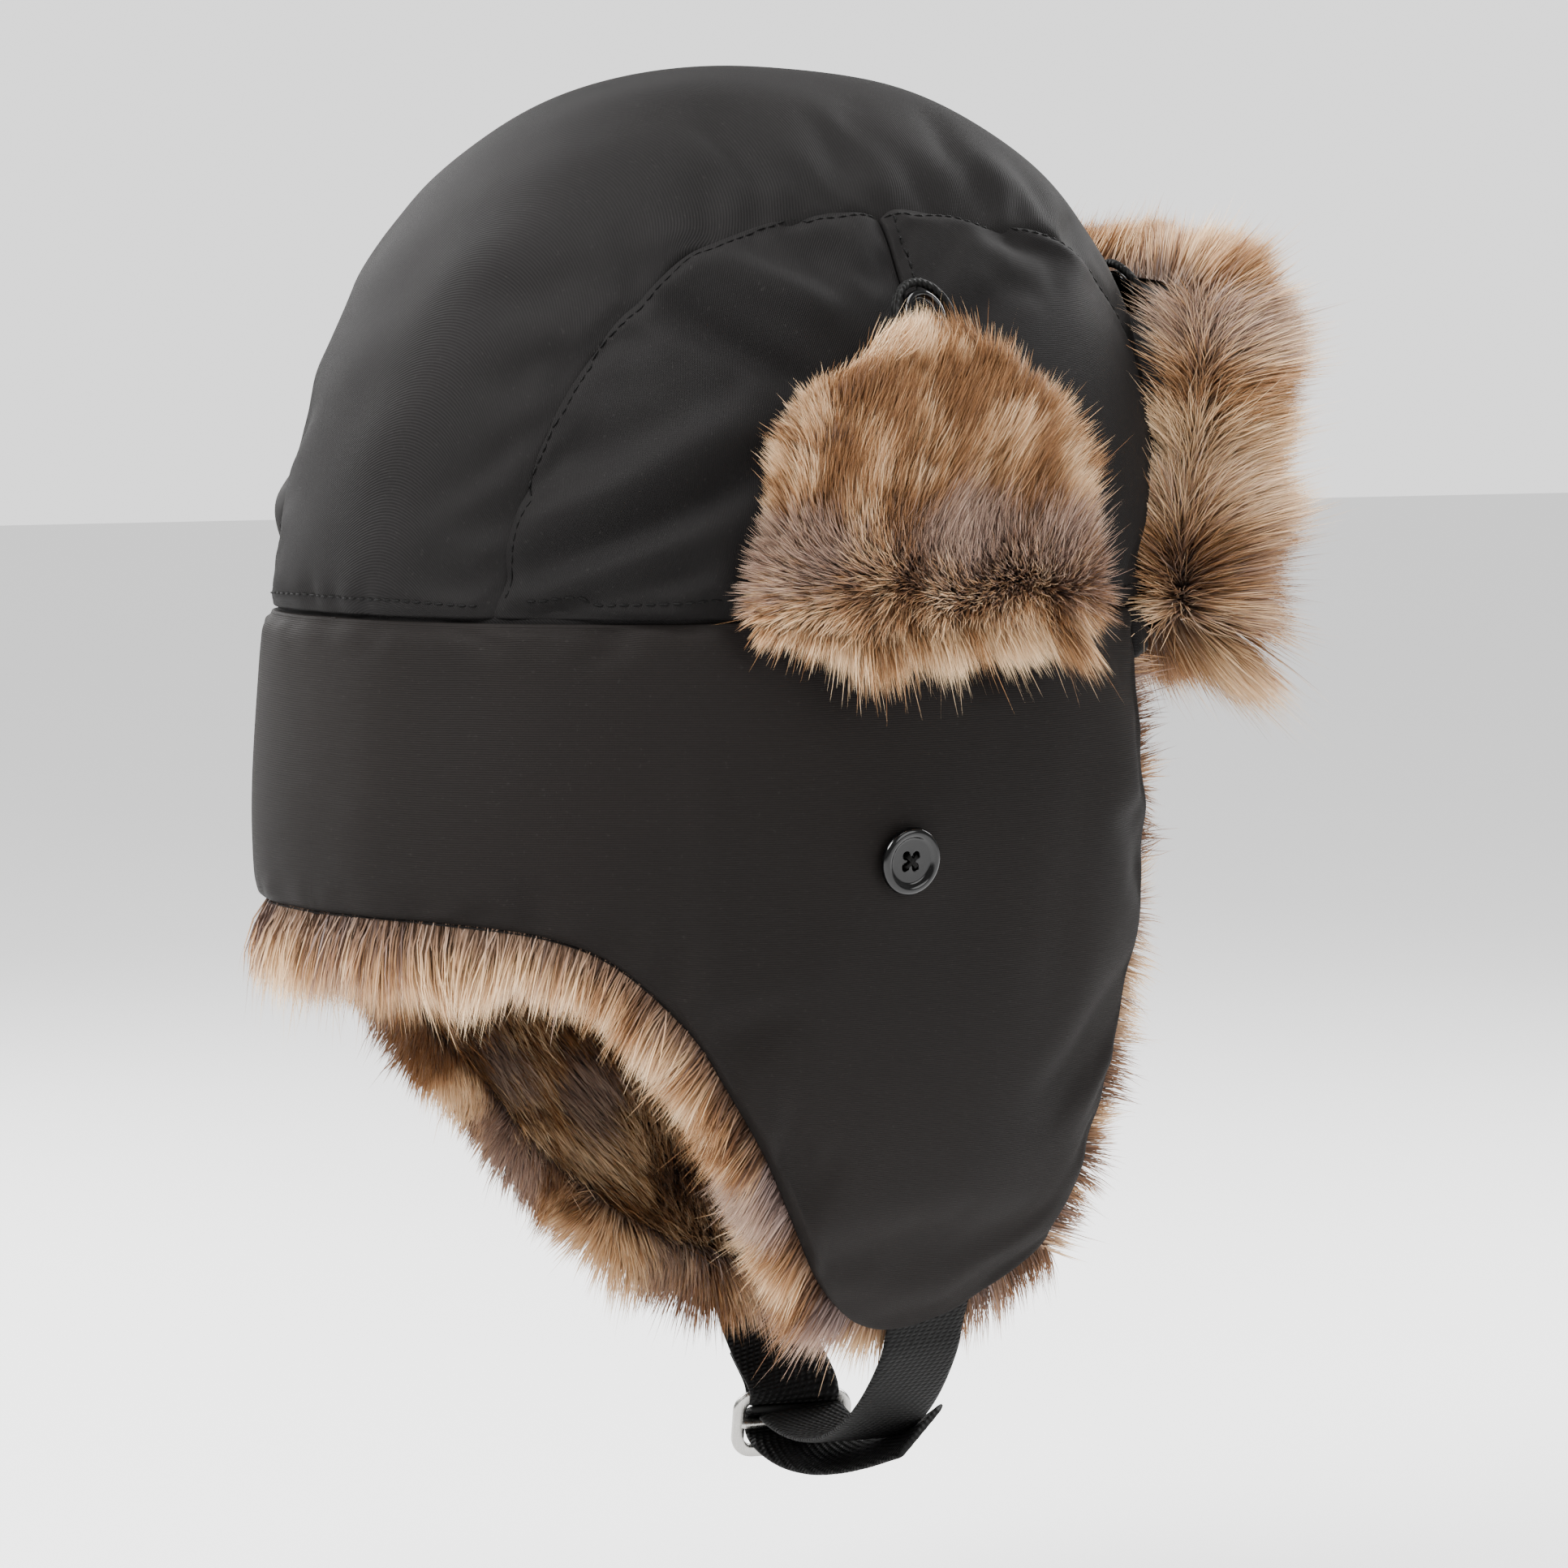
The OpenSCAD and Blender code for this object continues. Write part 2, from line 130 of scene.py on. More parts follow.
def low_skin(t, z):
    t, z = arr(t, z)
    c, s = ring(t)
    f = (1 - np.clip(-z / LOW_H, 0, 0.995) ** CURL) ** (1 / CURL)
    return np.stack([HALF_W * f * c, (HALF_L + FLARE * ease(-z / 60)) * s, z], -1)


def low_at(t, z, o):
    t, z, o = arr(t, z, o)
    zc = np.clip(z, -LOW_H + 2, -0.5)
    n = unit(np.cross(low_skin(t + 1, zc) - low_skin(t - 1, zc),
                      low_skin(t, zc + 0.5) - low_skin(t, zc - 0.5)))
    return low_skin(t, np.maximum(z, -LOW_H + 1.5)) + n * o[..., None]


def side_at(y, z, o):
    y, z, o = arr(y, z, o)
    yc = np.where(z > 0, y + lean(z), y)
    up = np.where(z > 0, (np.maximum(z, 0) / (CROWN_H + o)) ** ROUND, 0)
    f = np.where(z > 0, 1, (1 - (np.maximum(-z, 0) / (LOW_H + o)) ** CURL) ** (1 / CURL))
    across = (np.abs(yc) / (HALF_L + o)) ** ROUND
    return np.stack([(HALF_W + o) * f * np.clip(1 - across - up, 0, 1) ** (1 / ROUND), y, z], -1)


def run_along(points):
    """Distance of each point of a line from its first one."""
    return np.concatenate([[0], np.cumsum(np.linalg.norm(np.diff(points, axis=0), axis=1))])


def line_at(at, run, points):
    """Points of a line at the distances in at, where run has the distance of each of its own points."""
    return np.stack([np.interp(at, run, points[:, k]) for k in range(points.shape[1])], 1)


def smooth_line(points, count):
    """Catmull-Rom curve through (angle, z) points, as count points evenly spaced along it."""
    p = np.array(points, float)
    scale = np.array([1.6, 1.0])
    q = np.vstack([2 * p[0] - p[1], p, 2 * p[-1] - p[-2]])
    out = []
    for i in range(len(p) - 1):
        s = np.linspace(0, 1, 24, endpoint=False)[:, None]
        a, b, c, d = q[i], q[i + 1], q[i + 2], q[i + 3]
        out.append(0.5 * (2 * b + (c - a) * s + (2 * a - 5 * b + 4 * c - d) * s ** 2
                          + (3 * b - a - 3 * c + d) * s ** 3))
    line = np.vstack(out + [p[-1:]])
    run = run_along(line * scale)
    return line_at(np.linspace(0, run[-1], count), run, line)


# hem from the back's middle along the neck and the ear flap's rear edge to its front corner,
# and the ear flap's front edge, as (angle round the head, z)
HEM = smooth_line([(90, -76), (70, -76), (51, -78.5), (42, -82.5), (36.5, -88), (31, -97), (25.5, -108),
                   (20.5, -122), (15, -137), (8.6, -156), (2.2, -173), (-3, -183), (-9, -190.5),
                   (-15, -193), (-21, -190.5), (-26, -185), (-31, -179), (-35.5, -172)], 400)
FRONT = smooth_line([(-45, -0.8), (-45, -30), (-45, -62), (-44.5, -86), (-43, -108), (-41, -128),
                     (-39, -148), (-37, -162), (-35.5, -172)], 400)


def low_patch(u, v):
    """(angle, z) inside a side's lower panel: u runs from the back to the front edge,
    v from the crown seam to the hem."""
    u, v = arr(u, v)
    grid = np.linspace(0, 1, 400)
    bottom = [np.interp(u, grid, HEM[:, k]) for k in (0, 1)]
    edge = [np.interp(v, grid, FRONT[:, k]) for k in (0, 1)]
    top = [90 + (-45 - 90) * u, -0.8 + 0 * u]
    back = [90 + 0 * v, -0.8 + (-76 + 0.8) * v]
    corner = [[90, 90], [-0.8, -76.0]], [[-45, HEM[-1, 0]], [-0.8, HEM[-1, 1]]]
    out = []
    for k in (0, 1):
        c00, c01 = corner[0][k]
        c10, c11 = corner[1][k]
        out.append((1 - v) * top[k] + v * bottom[k] + (1 - u) * back[k] + u * edge[k]
                   - ((1 - u) * (1 - v) * c00 + (1 - u) * v * c01 + u * (1 - v) * c10 + u * v * c11))
    return out[0], out[1]


def low_uv(u, v, o):
    t, z = low_patch(u, v)
    return low_at(t, z, o)


# ---------- meshes ----------

def mesh_from(name, co, faces, uv=None, attributes=None):
    """Mesh object from points in mm and an (n, 3 or 4) face array, or several of them."""
    mesh = bpy.data.meshes.new(name)
    groups = faces if isinstance(faces, list) else [faces]
    loops = np.concatenate([g.ravel() for g in groups]).astype(np.int32)
    total = np.concatenate([np.full(len(g), g.shape[1]) for g in groups]).astype(np.int32)
    start = np.concatenate([[0], np.cumsum(total)[:-1]]).astype(np.int32)
    mesh.vertices.add(len(co))
    mesh.vertices.foreach_set("co", (np.asarray(co, float) * MM).astype(np.float32).ravel())
    mesh.loops.add(len(loops))
    mesh.loops.foreach_set("vertex_index", loops)
    mesh.polygons.add(len(total))
    mesh.polygons.foreach_set("loop_start", start)
    mesh.polygons.foreach_set("loop_total", total)
    mesh.polygons.foreach_set("use_smooth", np.ones(len(total), bool))
    for layer, values in (uv or {}).items():
        mesh.uv_layers.new(name=layer).data.foreach_set("uv", values[loops].astype(np.float32).ravel())
    for key, values in (attributes or {}).items():
        mesh.attributes.new(key, "FLOAT", "POINT").data.foreach_set("value", values.astype(np.float32))
    mesh.update(calc_edges=True)
    mesh.validate()
    obj = bpy.data.objects.new(name, mesh)
    bpy.context.scene.collection.objects.link(obj)
    return obj


def grid_faces(nr, nc, base=0, flip=False, wrap=False):
    r, c = np.meshgrid(np.arange(nr - 1), np.arange(nc if wrap else nc - 1), indexing="ij")
    d = (c + 1) % nc
    quads = np.stack([r * nc + c, r * nc + d, (r + 1) * nc + d, (r + 1) * nc + c], -1).reshape(-1, 4)
    return (quads[:, ::-1] if flip else quads) + base


def edge_distances(points):
    """Distance in mm of each grid point to the grid's first and last column, and first and last row."""
    du = np.linalg.norm(np.diff(points, axis=1), axis=2)
    dv = np.linalg.norm(np.diff(points, axis=0), axis=2)
    left = np.concatenate([np.zeros((points.shape[0], 1)), np.cumsum(du, 1)], 1)
    top = np.concatenate([np.zeros((1, points.shape[1])), np.cumsum(dv, 0)], 0)
    return left, left[:, -1:] - left, top, top[-1:] - top


def shell_mesh(name, outer, inner, flip=False, wrap=False):
    """Closed solid between two grids of points, with metric UVs on both."""
    nr, nc = outer.shape[:2]
    half = nr * nc
    co = np.concatenate([outer.reshape(-1, 3), inner.reshape(-1, 3)])
    faces = [grid_faces(nr, nc, 0, flip, wrap), grid_faces(nr, nc, half, not flip, wrap)]
    cols = np.arange(nc)
    rims = [cols, (nr - 1) * nc + cols[::-1]]
    if not wrap:
        rows = np.arange(nr)
        rims += [(rows * nc)[::-1], rows * nc + nc - 1]
    for line in rims:
        a, b = line, np.roll(line, -1)
        if not (wrap and len(line) == nc):
            a, b = line[:-1], line[1:]
        quad = np.stack([b, a, a + half, b + half], 1)
        faces.append(quad[:, ::-1] if flip else quad)
    du, _, dv, _ = edge_distances(outer)
    du = du - du[:, nc // 2:nc // 2 + 1]
    uv = np.stack([du, dv], -1).reshape(-1, 2) * MM
    return mesh_from(name, co, faces, uv={"UVMap": np.concatenate([uv, uv])})


def mirrored(points, side):
    return points * np.array([side, 1, 1])


def subdivide(obj, levels):
    mod = obj.modifiers.new("smooth", "SUBSURF")
    mod.levels = mod.render_levels = levels
    apply_modifiers(obj)


def keep_sharp(obj, inside):
    """Keeps the edges whose two ends are both inside a region crisp and unrounded."""
    near = inside(points_of(obj))
    ends = np.zeros(len(obj.data.edges) * 2, np.int32)
    obj.data.edges.foreach_get("vertices", ends)
    both = near[ends].reshape(-1, 2).all(1)
    obj.data.attributes.new("crease_edge", "FLOAT", "EDGE").data.foreach_set("value", both.astype(np.float32))
    obj.data.attributes.new("sharp_edge", "BOOLEAN", "EDGE").data.foreach_set("value", both)


def apply_modifiers(obj):
    graph = bpy.context.evaluated_depsgraph_get()
    mesh = bpy.data.meshes.new_from_object(obj.evaluated_get(graph), preserve_all_data_layers=True,
                                           depsgraph=graph)
    old = obj.data
    obj.modifiers.clear()
    obj.data = mesh
    bpy.data.meshes.remove(old)


def points_of(obj):
    co = np.zeros(len(obj.data.vertices) * 3, np.float32)
    obj.data.vertices.foreach_get("co", co)
    return co.reshape(-1, 3).astype(float) / MM


def put_points(obj, co):
    obj.data.vertices.foreach_set("co", (co * MM).astype(np.float32).ravel())
    obj.data.update()


def cloth(obj, pin, pressure=3.0, grow=0.035, cap=4.0, frames=18, gain=1.0):
    """Lets the free points of a padded piece swell and wrinkle as oversized cloth, then keeps the result."""
    group = obj.vertex_groups.new(name="pin")
    for w in np.unique(pin):
        group.add([int(i) for i in np.nonzero(pin == w)[0]], float(w), "REPLACE")
    rest = points_of(obj)
    mod = obj.modifiers.new("cloth", "CLOTH")
    s = mod.settings
    s.quality = 6
    s.mass = 0.15
    s.tension_stiffness = s.compression_stiffness = 20
    s.shear_stiffness = 8
    s.bending_stiffness = 0.25
    s.tension_damping = s.compression_damping = s.shear_damping = 8
    s.air_damping = 2
    s.use_pressure = True
    s.uniform_pressure_force = pressure
    s.shrink_min = -grow
    s.vertex_group_mass = "pin"
    s.effector_weights.gravity = 0
    mod.collision_settings.use_collision = False
    mod.point_cache.frame_start = 1
    mod.point_cache.frame_end = frames
    for f in range(1, frames + 1):
        bpy.context.scene.frame_set(f)
    apply_modifiers(obj)
    bpy.context.scene.frame_set(1)
    moved = points_of(obj) - rest
    far = np.linalg.norm(moved, axis=1, keepdims=True)
    hold = np.minimum(1, cap / np.maximum(far, 1e-6)) * np.reshape(gain, (-1, 1))
    put_points(obj, rest + moved * hold)


def finish_piece(obj, material, body, replaces=()):
    obj.data.materials.clear()
    obj.data.materials.append(material)
    if isinstance(body, str):
        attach(obj, body)
    else:
        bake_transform(obj)
    if replaces:
        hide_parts(*replaces)
    return obj


# ---------- materials ----------

class Look:
    """A node material with short calls for what the looks below need."""

    def __init__(self, name, **sockets):
        self.mat = bpy.data.materials.new(name)
        self.mat.use_nodes = True
        self.nodes, self.links = self.mat.node_tree.nodes, self.mat.node_tree.links
        self.bsdf = self.nodes["Principled BSDF"]
        for key, value in sockets.items():
            self.bsdf.inputs[key.replace("_", " ")].default_value = value

    def node(self, kind, inputs=None, **settings):
        n = self.nodes.new(kind)
        for key, value in settings.items():
            setattr(n, key, value)
        for key, value in (inputs or {}).items():
            if isinstance(value, bpy.types.NodeSocket):
                self.links.new(value, n.inputs[key])
            else:
                n.inputs[key].default_value = value
        return n

    def coords(self, rotate=0.0, uv=True):
        source = self.node("ShaderNodeUVMap", uv_map="UVMap").outputs[0] if uv \
            else self.node("ShaderNodeTexCoord").outputs["Object"]
        return self.node("ShaderNodeMapping", {"Vector": source, "Rotation": (0, 0, rotate)}).outputs[0]

    def noise(self, scale, detail=3.0, vector=None, rough=0.55):
        vector = vector or self.coords(uv=False)
        return self.node("ShaderNodeTexNoise", {"Vector": vector, "Scale": scale, "Detail": detail,
                                                "Roughness": rough}).outputs["Fac"]

    def wave(self, scale, vector, distort=0.0):
        return self.node("ShaderNodeTexWave", {"Vector": vector, "Scale": scale, "Distortion": distort,
                                               "Detail": 1.0, "Detail Scale": 2.0}).outputs["Fac"]

    def ramp(self, fac, stops):
        n = self.node("ShaderNodeValToRGB", {"Fac": fac})
        n.color_ramp.elements[0].position, n.color_ramp.elements[1].position = stops[0][0], stops[-1][0]
        for at, _ in stops[1:-1]:
            n.color_ramp.elements.new(at)
        for e, (_, colour) in zip(n.color_ramp.elements, stops):
            e.color = (*colour, 1) if hasattr(colour, "__len__") else (colour, colour, colour, 1)
        return n.outputs[0]

    def mix(self, fac, a, b, blend="MIX"):
        n = self.node("ShaderNodeMix", data_type="RGBA", blend_type=blend)
        for socket, value in ((n.inputs[0], fac), (n.inputs[6], a), (n.inputs[7], b)):
            if isinstance(value, bpy.types.NodeSocket):
                self.links.new(value, socket)
            else:
                socket.default_value = (*value, 1) if hasattr(value, "__len__") else value
        return n.outputs[2]

    def math(self, kind, a, b=0.0, c=0.0):
        n = self.node("ShaderNodeMath", operation=kind)
        for socket, value in zip(n.inputs, (a, b, c)):
            if isinstance(value, bpy.types.NodeSocket):
                self.links.new(value, socket)
            else:
                socket.default_value = value
        return n.outputs[0]

    def bump(self, height, distance, strength=1.0):
        n = self.node("ShaderNodeBump", {"Height": height, "Distance": distance, "Strength": strength})
        if self.bsdf.inputs["Normal"].links:
            self.links.new(self.bsdf.inputs["Normal"].links[0].from_socket, n.inputs["Normal"])
        self.links.new(n.outputs[0], self.bsdf.inputs["Normal"])

    def to(self, **sockets):
        for key, value in sockets.items():
            self.links.new(value, self.bsdf.inputs[key.replace("_", " ")])
        return self


def twill_look(name, dark, light, twill=523.0, angle=math.radians(52)):
    """Fine twill: raised diagonal ribs crossed by yarns, a little lint and uneven wear."""
    k = Look(name, Roughness=0.72, Sheen_Weight=0.006, Sheen_Roughness=0.4, Specular_IOR_Level=0.075)
    ribs = k.wave(twill, k.coords(angle), 0.4)
    yarns = k.wave(twill * 1.9, k.coords(math.radians(-8)), 0.3)
    cloudy = k.noise(14, 4)
    lint = k.ramp(k.noise(900, 2), [(0.66, 0.0), (0.74, 1.0)])
    colour = k.mix(k.ramp(cloudy, [(0.3, 0.0), (0.7, 1.0)]), dark, light)
    colour = k.mix(k.math("MULTIPLY", ribs, 0.5), colour, tuple(c * 2.2 for c in light))
    colour = k.mix(k.math("MULTIPLY", lint, 0.06), colour, (0.09, 0.085, 0.08))
    k.to(Base_Color=colour, Roughness=k.ramp(cloudy, [(0.2, 0.64), (0.8, 0.78)]))
    k.bump(k.math("ADD", ribs, k.math("MULTIPLY", yarns, 0.5)), 0.00012, 0.5)
    k.bump(k.noise(60, 4), 0.0006, 0.25)
    return k.mat


def fur_look(name):
    """Pile hairs, dark at the root and pale at the tip: tone goes from brown to cream, ash to mauve-grey."""
    k = Look(name, Roughness=0.55, Specular_IOR_Level=0.22, Sheen_Weight=0.08)
    along, tone, ash = (k.node("ShaderNodeAttribute", attribute_name=a).outputs["Fac"]
                        for a in ("along", "tone", "ash"))
    pale, tan, dark, grey = (k.ramp(along, stops) for stops in (
        [(0.0, (0.10, 0.062, 0.042)), (0.3, (0.23, 0.137, 0.082)), (0.58, (0.50, 0.315, 0.165)),
         (0.82, (0.72, 0.50, 0.295)), (1.0, (0.84, 0.665, 0.45))],
        [(0.0, (0.08, 0.047, 0.032)), (0.35, (0.18, 0.093, 0.046)), (0.7, (0.39, 0.195, 0.078)),
         (1.0, (0.57, 0.345, 0.165))],
        [(0.0, (0.04, 0.022, 0.014)), (0.5, (0.095, 0.042, 0.018)), (0.85, (0.215, 0.096, 0.034)),
         (1.0, (0.36, 0.195, 0.088))],
        [(0.0, (0.085, 0.058, 0.052)), (0.45, (0.17, 0.118, 0.104)), (0.8, (0.31, 0.205, 0.16)),
         (1.0, (0.58, 0.43, 0.32))]))
    colour = k.mix(k.ramp(tone, [(0.22, 0.0), (0.5, 1.0)]), dark, tan)
    colour = k.mix(k.ramp(tone, [(0.45, 0.0), (0.78, 1.0)]), colour, pale)
    k.to(Base_Color=k.mix(k.ramp(ash, [(0.4, 0.0), (0.7, 0.9)]), colour, grey))
    return k.mat


def pile_base_look():
    """The knitted backing that the hairs stand in, seen only deep in the pile."""
    k = Look("pile_base", Roughness=0.9, Sheen_Weight=0.3)
    k.to(Base_Color=k.mix(k.noise(70, 5), (0.055, 0.034, 0.026), (0.16, 0.10, 0.075)))
    k.bump(k.noise(420, 3), 0.0012, 0.8)
    return k.mat


def webbing_look():
    k = Look("webbing", Roughness=0.62, Specular_IOR_Level=0.12)
    across = k.wave(170, k.coords(math.radians(24)), 0.15)
    along = k.wave(260, k.coords(math.radians(90)), 0.15)
    weave = k.math("MULTIPLY", across, along)
    colour = k.mix(weave, (0.0016, 0.0016, 0.0015), (0.0075, 0.0072, 0.0070))
    k.to(Base_Color=k.mix(k.math("MULTIPLY", k.noise(40, 4), 0.35), colour, (0.006, 0.0057, 0.0054)))
    k.bump(weave, 0.0006, 0.9)
    return k.mat


def thread_look():
    k = Look("thread", Roughness=0.6, Specular_IOR_Level=0.08)
    twist = k.wave(700, k.coords(math.radians(38), uv=False), 0.6)
    k.to(Base_Color=k.mix(twist, (0.0016, 0.0015, 0.0015), (0.006, 0.0057, 0.0054)))
    k.bump(twist, 0.0001, 0.6)
    return k.mat


def elastic_look():
    k = Look("elastic", Roughness=0.6, Specular_IOR_Level=0.1)
    braid = k.math("ADD", k.wave(300, k.coords(math.radians(40), uv=False), 0.2),
                   k.wave(300, k.coords(math.radians(-40), uv=False), 0.2))
    k.to(Base_Color=k.mix(k.math("MULTIPLY", braid, 0.5), (0.0015, 0.0015, 0.0014), (0.007, 0.0067, 0.0064)))
    k.bump(braid, 0.00025, 0.8)
    return k.mat


def button_look():
    k = Look("button", Roughness=0.12, Specular_IOR_Level=0.28, Coat_Weight=0.12, Coat_Roughness=0.05)
    cloud = k.noise(120, 4)
    k.to(Base_Color=k.mix(cloud, (0.0009, 0.0009, 0.001), (0.0022, 0.0021, 0.0022)),
         Roughness=k.ramp(k.noise(340, 5), [(0.35, 0.08), (0.75, 0.22)]))
    k.bump(k.noise(90, 2), 0.00012, 0.25)
    return k.mat


def metal_look():
    k = Look("satin_nickel", Metallic=1.0, Roughness=0.3)
    grain = k.node("ShaderNodeMapping", {"Vector": k.node("ShaderNodeTexCoord").outputs["Object"],
                                         "Scale": (1, 14, 1)}).outputs[0]
    brushed = k.noise(260, 3, grain)
    wear = k.noise(110, 5)
    k.to(Base_Color=k.mix(wear, (0.30, 0.29, 0.27), (0.46, 0.45, 0.43)),
         Roughness=k.ramp(brushed, [(0.3, 0.2), (0.75, 0.42)]))
    k.bump(brushed, 0.00006, 0.4)
    return k.mat


def satin_look():
    k = Look("lining_satin", Roughness=0.42, Specular_IOR_Level=0.3)
    threads = k.wave(900, k.coords(0.0), 0.2)
    k.to(Base_Color=k.mix(k.noise(25, 3), (0.011, 0.011, 0.012), (0.024, 0.023, 0.025)),
         Roughness=k.ramp(k.noise(50, 3), [(0.3, 0.36), (0.7, 0.5)]))
    k.bump(threads, 0.00008, 0.4)
    k.bump(k.noise(120, 4), 0.0006, 0.5)
    return k.mat


TWILL = twill_look("twill", (0.0032, 0.0029, 0.0029), (0.0052, 0.0047, 0.0046))
TWILL_LOW = twill_look("twill_neck", (0.0038, 0.0031, 0.0029), (0.0060, 0.0049, 0.0044), 560.0,
                       math.radians(90))
FUR = fur_look("fur")
PILE = pile_base_look()
WEBBING = webbing_look()
THREAD = thread_look()
ELASTIC = elastic_look()
BUTTON = button_look()
METAL = metal_look()
SATIN = satin_look()
SIDES = (("left", 1), ("right", -1))
rng = np.random.default_rng(7)


# ---------- crown ----------

def waves(p, size, seed, count=5):
    """Smooth noise from -1 to 1 over points in mm, about size across."""
    r = np.random.default_rng(seed)
    total = 0
    for _ in range(count):
        d = unit(r.normal(size=3)) * 2 * math.pi / (size * r.uniform(0.7, 1.5))
        total = total + np.sin(p @ d + r.uniform(0, 6.28))
    return total / count ** 0.5 / 1.3


FOLDS = ((104, 9, 48, 37, 4.0, -2.1), (98, 21, 46, 50, 6.5, 2.0), (103, 20, 82, 47, 3.4, -1.3),
         (98, 2, 60, 14, 3.6, -1.4), (64, 79, 30, 57, 4.2, -1.8), (60, 92, 20, 76, 7.0, 1.4),
         (96, 6, 56, 24, 5.0, 0.9), (-16, 112, -58, 92, 6.0, -0.9), (-40, 118, -76, 84, 7.0, 0.8))
"""The crown's folds as y, z of both ends, width and height, all in mm."""
LOW_FOLDS = ((55, -104, 62, -30, 5.5, 0.8), (58, -100, 18, -84, 8.0, 0.7), (96, -60, 40, -52, 9.0, 0.5),
             (-60, -30, -50, -110, 9.0, -0.6), (10, -120, -50, -150, 11.0, 0.5))
"""The same below the crown seam."""


def folds(p, table):
    """Soft folds on the hat's sides, as heights at points in mm."""
    total = np.zeros(p.shape[:-1])
    for y0, z0, y1, z1, width, height in table:
        a, d = np.array([y0, z0], float), np.array([y1 - y0, z1 - z0], float)
        q = p[..., 1:] - a
        s = (q @ d) / (d @ d)
        off = q - s[..., None] * d
        ends = ease(s * 3 + 0.4) * ease((1 - s) * 3 + 0.4)
        total += height * ends * np.exp(-(np.linalg.norm(off, axis=-1) / width) ** 2)
    return total


def seam_valley(e, p, seed, depth=1.7, reach=3.2):
    """Fabric pulled in at a seam e mm away, with small puckers along it."""
    pucker = 0.35 * waves(p, 11, seed) * np.exp(-(e / 9) ** 2)
    return pucker - depth * np.exp(-(e / reach) ** 2)


def pinned(*edges):
    """Pin weights for a shell, free where its outer grid is over 2 mm from every edge."""
    free = (np.minimum.reduce(edges) > 2.0).ravel()
    return np.concatenate([np.where(free, 0.0, 1.0), np.ones(free.size)])


def crown_piece(name, grid, nodes, seed, flip):
    """Padded crown panel: grid(o) gives its points at an offset."""
    flat = grid(0.0)
    left, right, top, bottom = edge_distances(flat)
    o = -1.1 + 2.1 * folds(flat, FOLDS) + 0.35 * waves(flat, 34, seed + 9)
    for i, e in enumerate((left, right, top, bottom)):
        o = o + seam_valley(e, flat, seed + i, 1.7 if i < 2 else 1.3)
    outer, inner = grid(o), grid(np.minimum(-5.4, o - 0.8))
    obj = shell_mesh(name, outer, inner, flip)
    cloth(obj, pinned(left, right, top, bottom), cap=1.8)
    subdivide(obj, 2)
    finish_piece(obj, TWILL, "hat", nodes)
    return obj


def seam_samples(count, edge=(0.0, 0.004, 0.012, 0.024)):
    """Shares from 0 to 1, closer together at both ends."""
    inner = np.linspace(edge[-1] * 1.6, 1 - edge[-1] * 1.6, count)
    return np.concatenate([edge, inner, 1 - np.array(edge[::-1])])


def centre_grid(o):
    b, s = np.meshgrid(seam_samples(66) * 180, seam_samples(26, (0.0, 0.01, 0.025, 0.05)) * 2 - 1,
                       indexing="ij")
    return crown_x(b, s * (seam_x(b) - 0.35), o)


crown_piece("crown_centre", centre_grid, ["crown_centre_panel", "crown_wadding"], 11, flip=False)

for where, side in SIDES:
    for part, lo, hi in (("front", 0.0, 93.93), ("rear", 94.07, 180.0)):
        def side_grid(o, lo=lo, hi=hi, side=side):
            b, s = np.meshgrid(lo + seam_samples(32, (0.0, 0.008, 0.02, 0.04)) * (hi - lo),
                               seam_samples(22, (0.0, 0.008, 0.02, 0.04)), indexing="ij")
            top = share(seam_x(b) + 0.35, 0)
            return mirrored(crown_at(b, 0.02 + (top - 0.02) * (1 - s), o), side)
        crown_piece(f"crown_side_{part}_{where}_panel", side_grid, [f"crown_side_{part}_{where}"],
                    30 + 7 * (part == "rear") + 3 * side, flip=side < 0)

t, z = np.meshgrid(np.linspace(0, 360, 181), np.linspace(2.4, -2.4, 5))
core = [low_at(t, 0 * z - 0.5, o) * [1, 1, 0] + z[..., None] * [0, 0, 1] for o in (-4.0, -6.2)]
finish_piece(shell_mesh("crown_seam_core", core[0], core[1], flip=True), TWILL, "hat")

# ---------- neck and ear flaps ----------

def rolled(e, r):
    """How far a padded edge of radius r has turned in at distance e from it."""
    k = np.clip(1 - e / r, 0, 1)
    return r * (1 - np.sqrt(np.maximum(1 - k * k, 0)))


def fold_blend(side, body):
    down, middle = np.array([0, -0.2124, -0.9772]), np.array([side * 0.0975, -0.0135, -0.0795])
    return "hat", body, tuple(middle - 0.012 * down), tuple(middle + 0.014 * down)


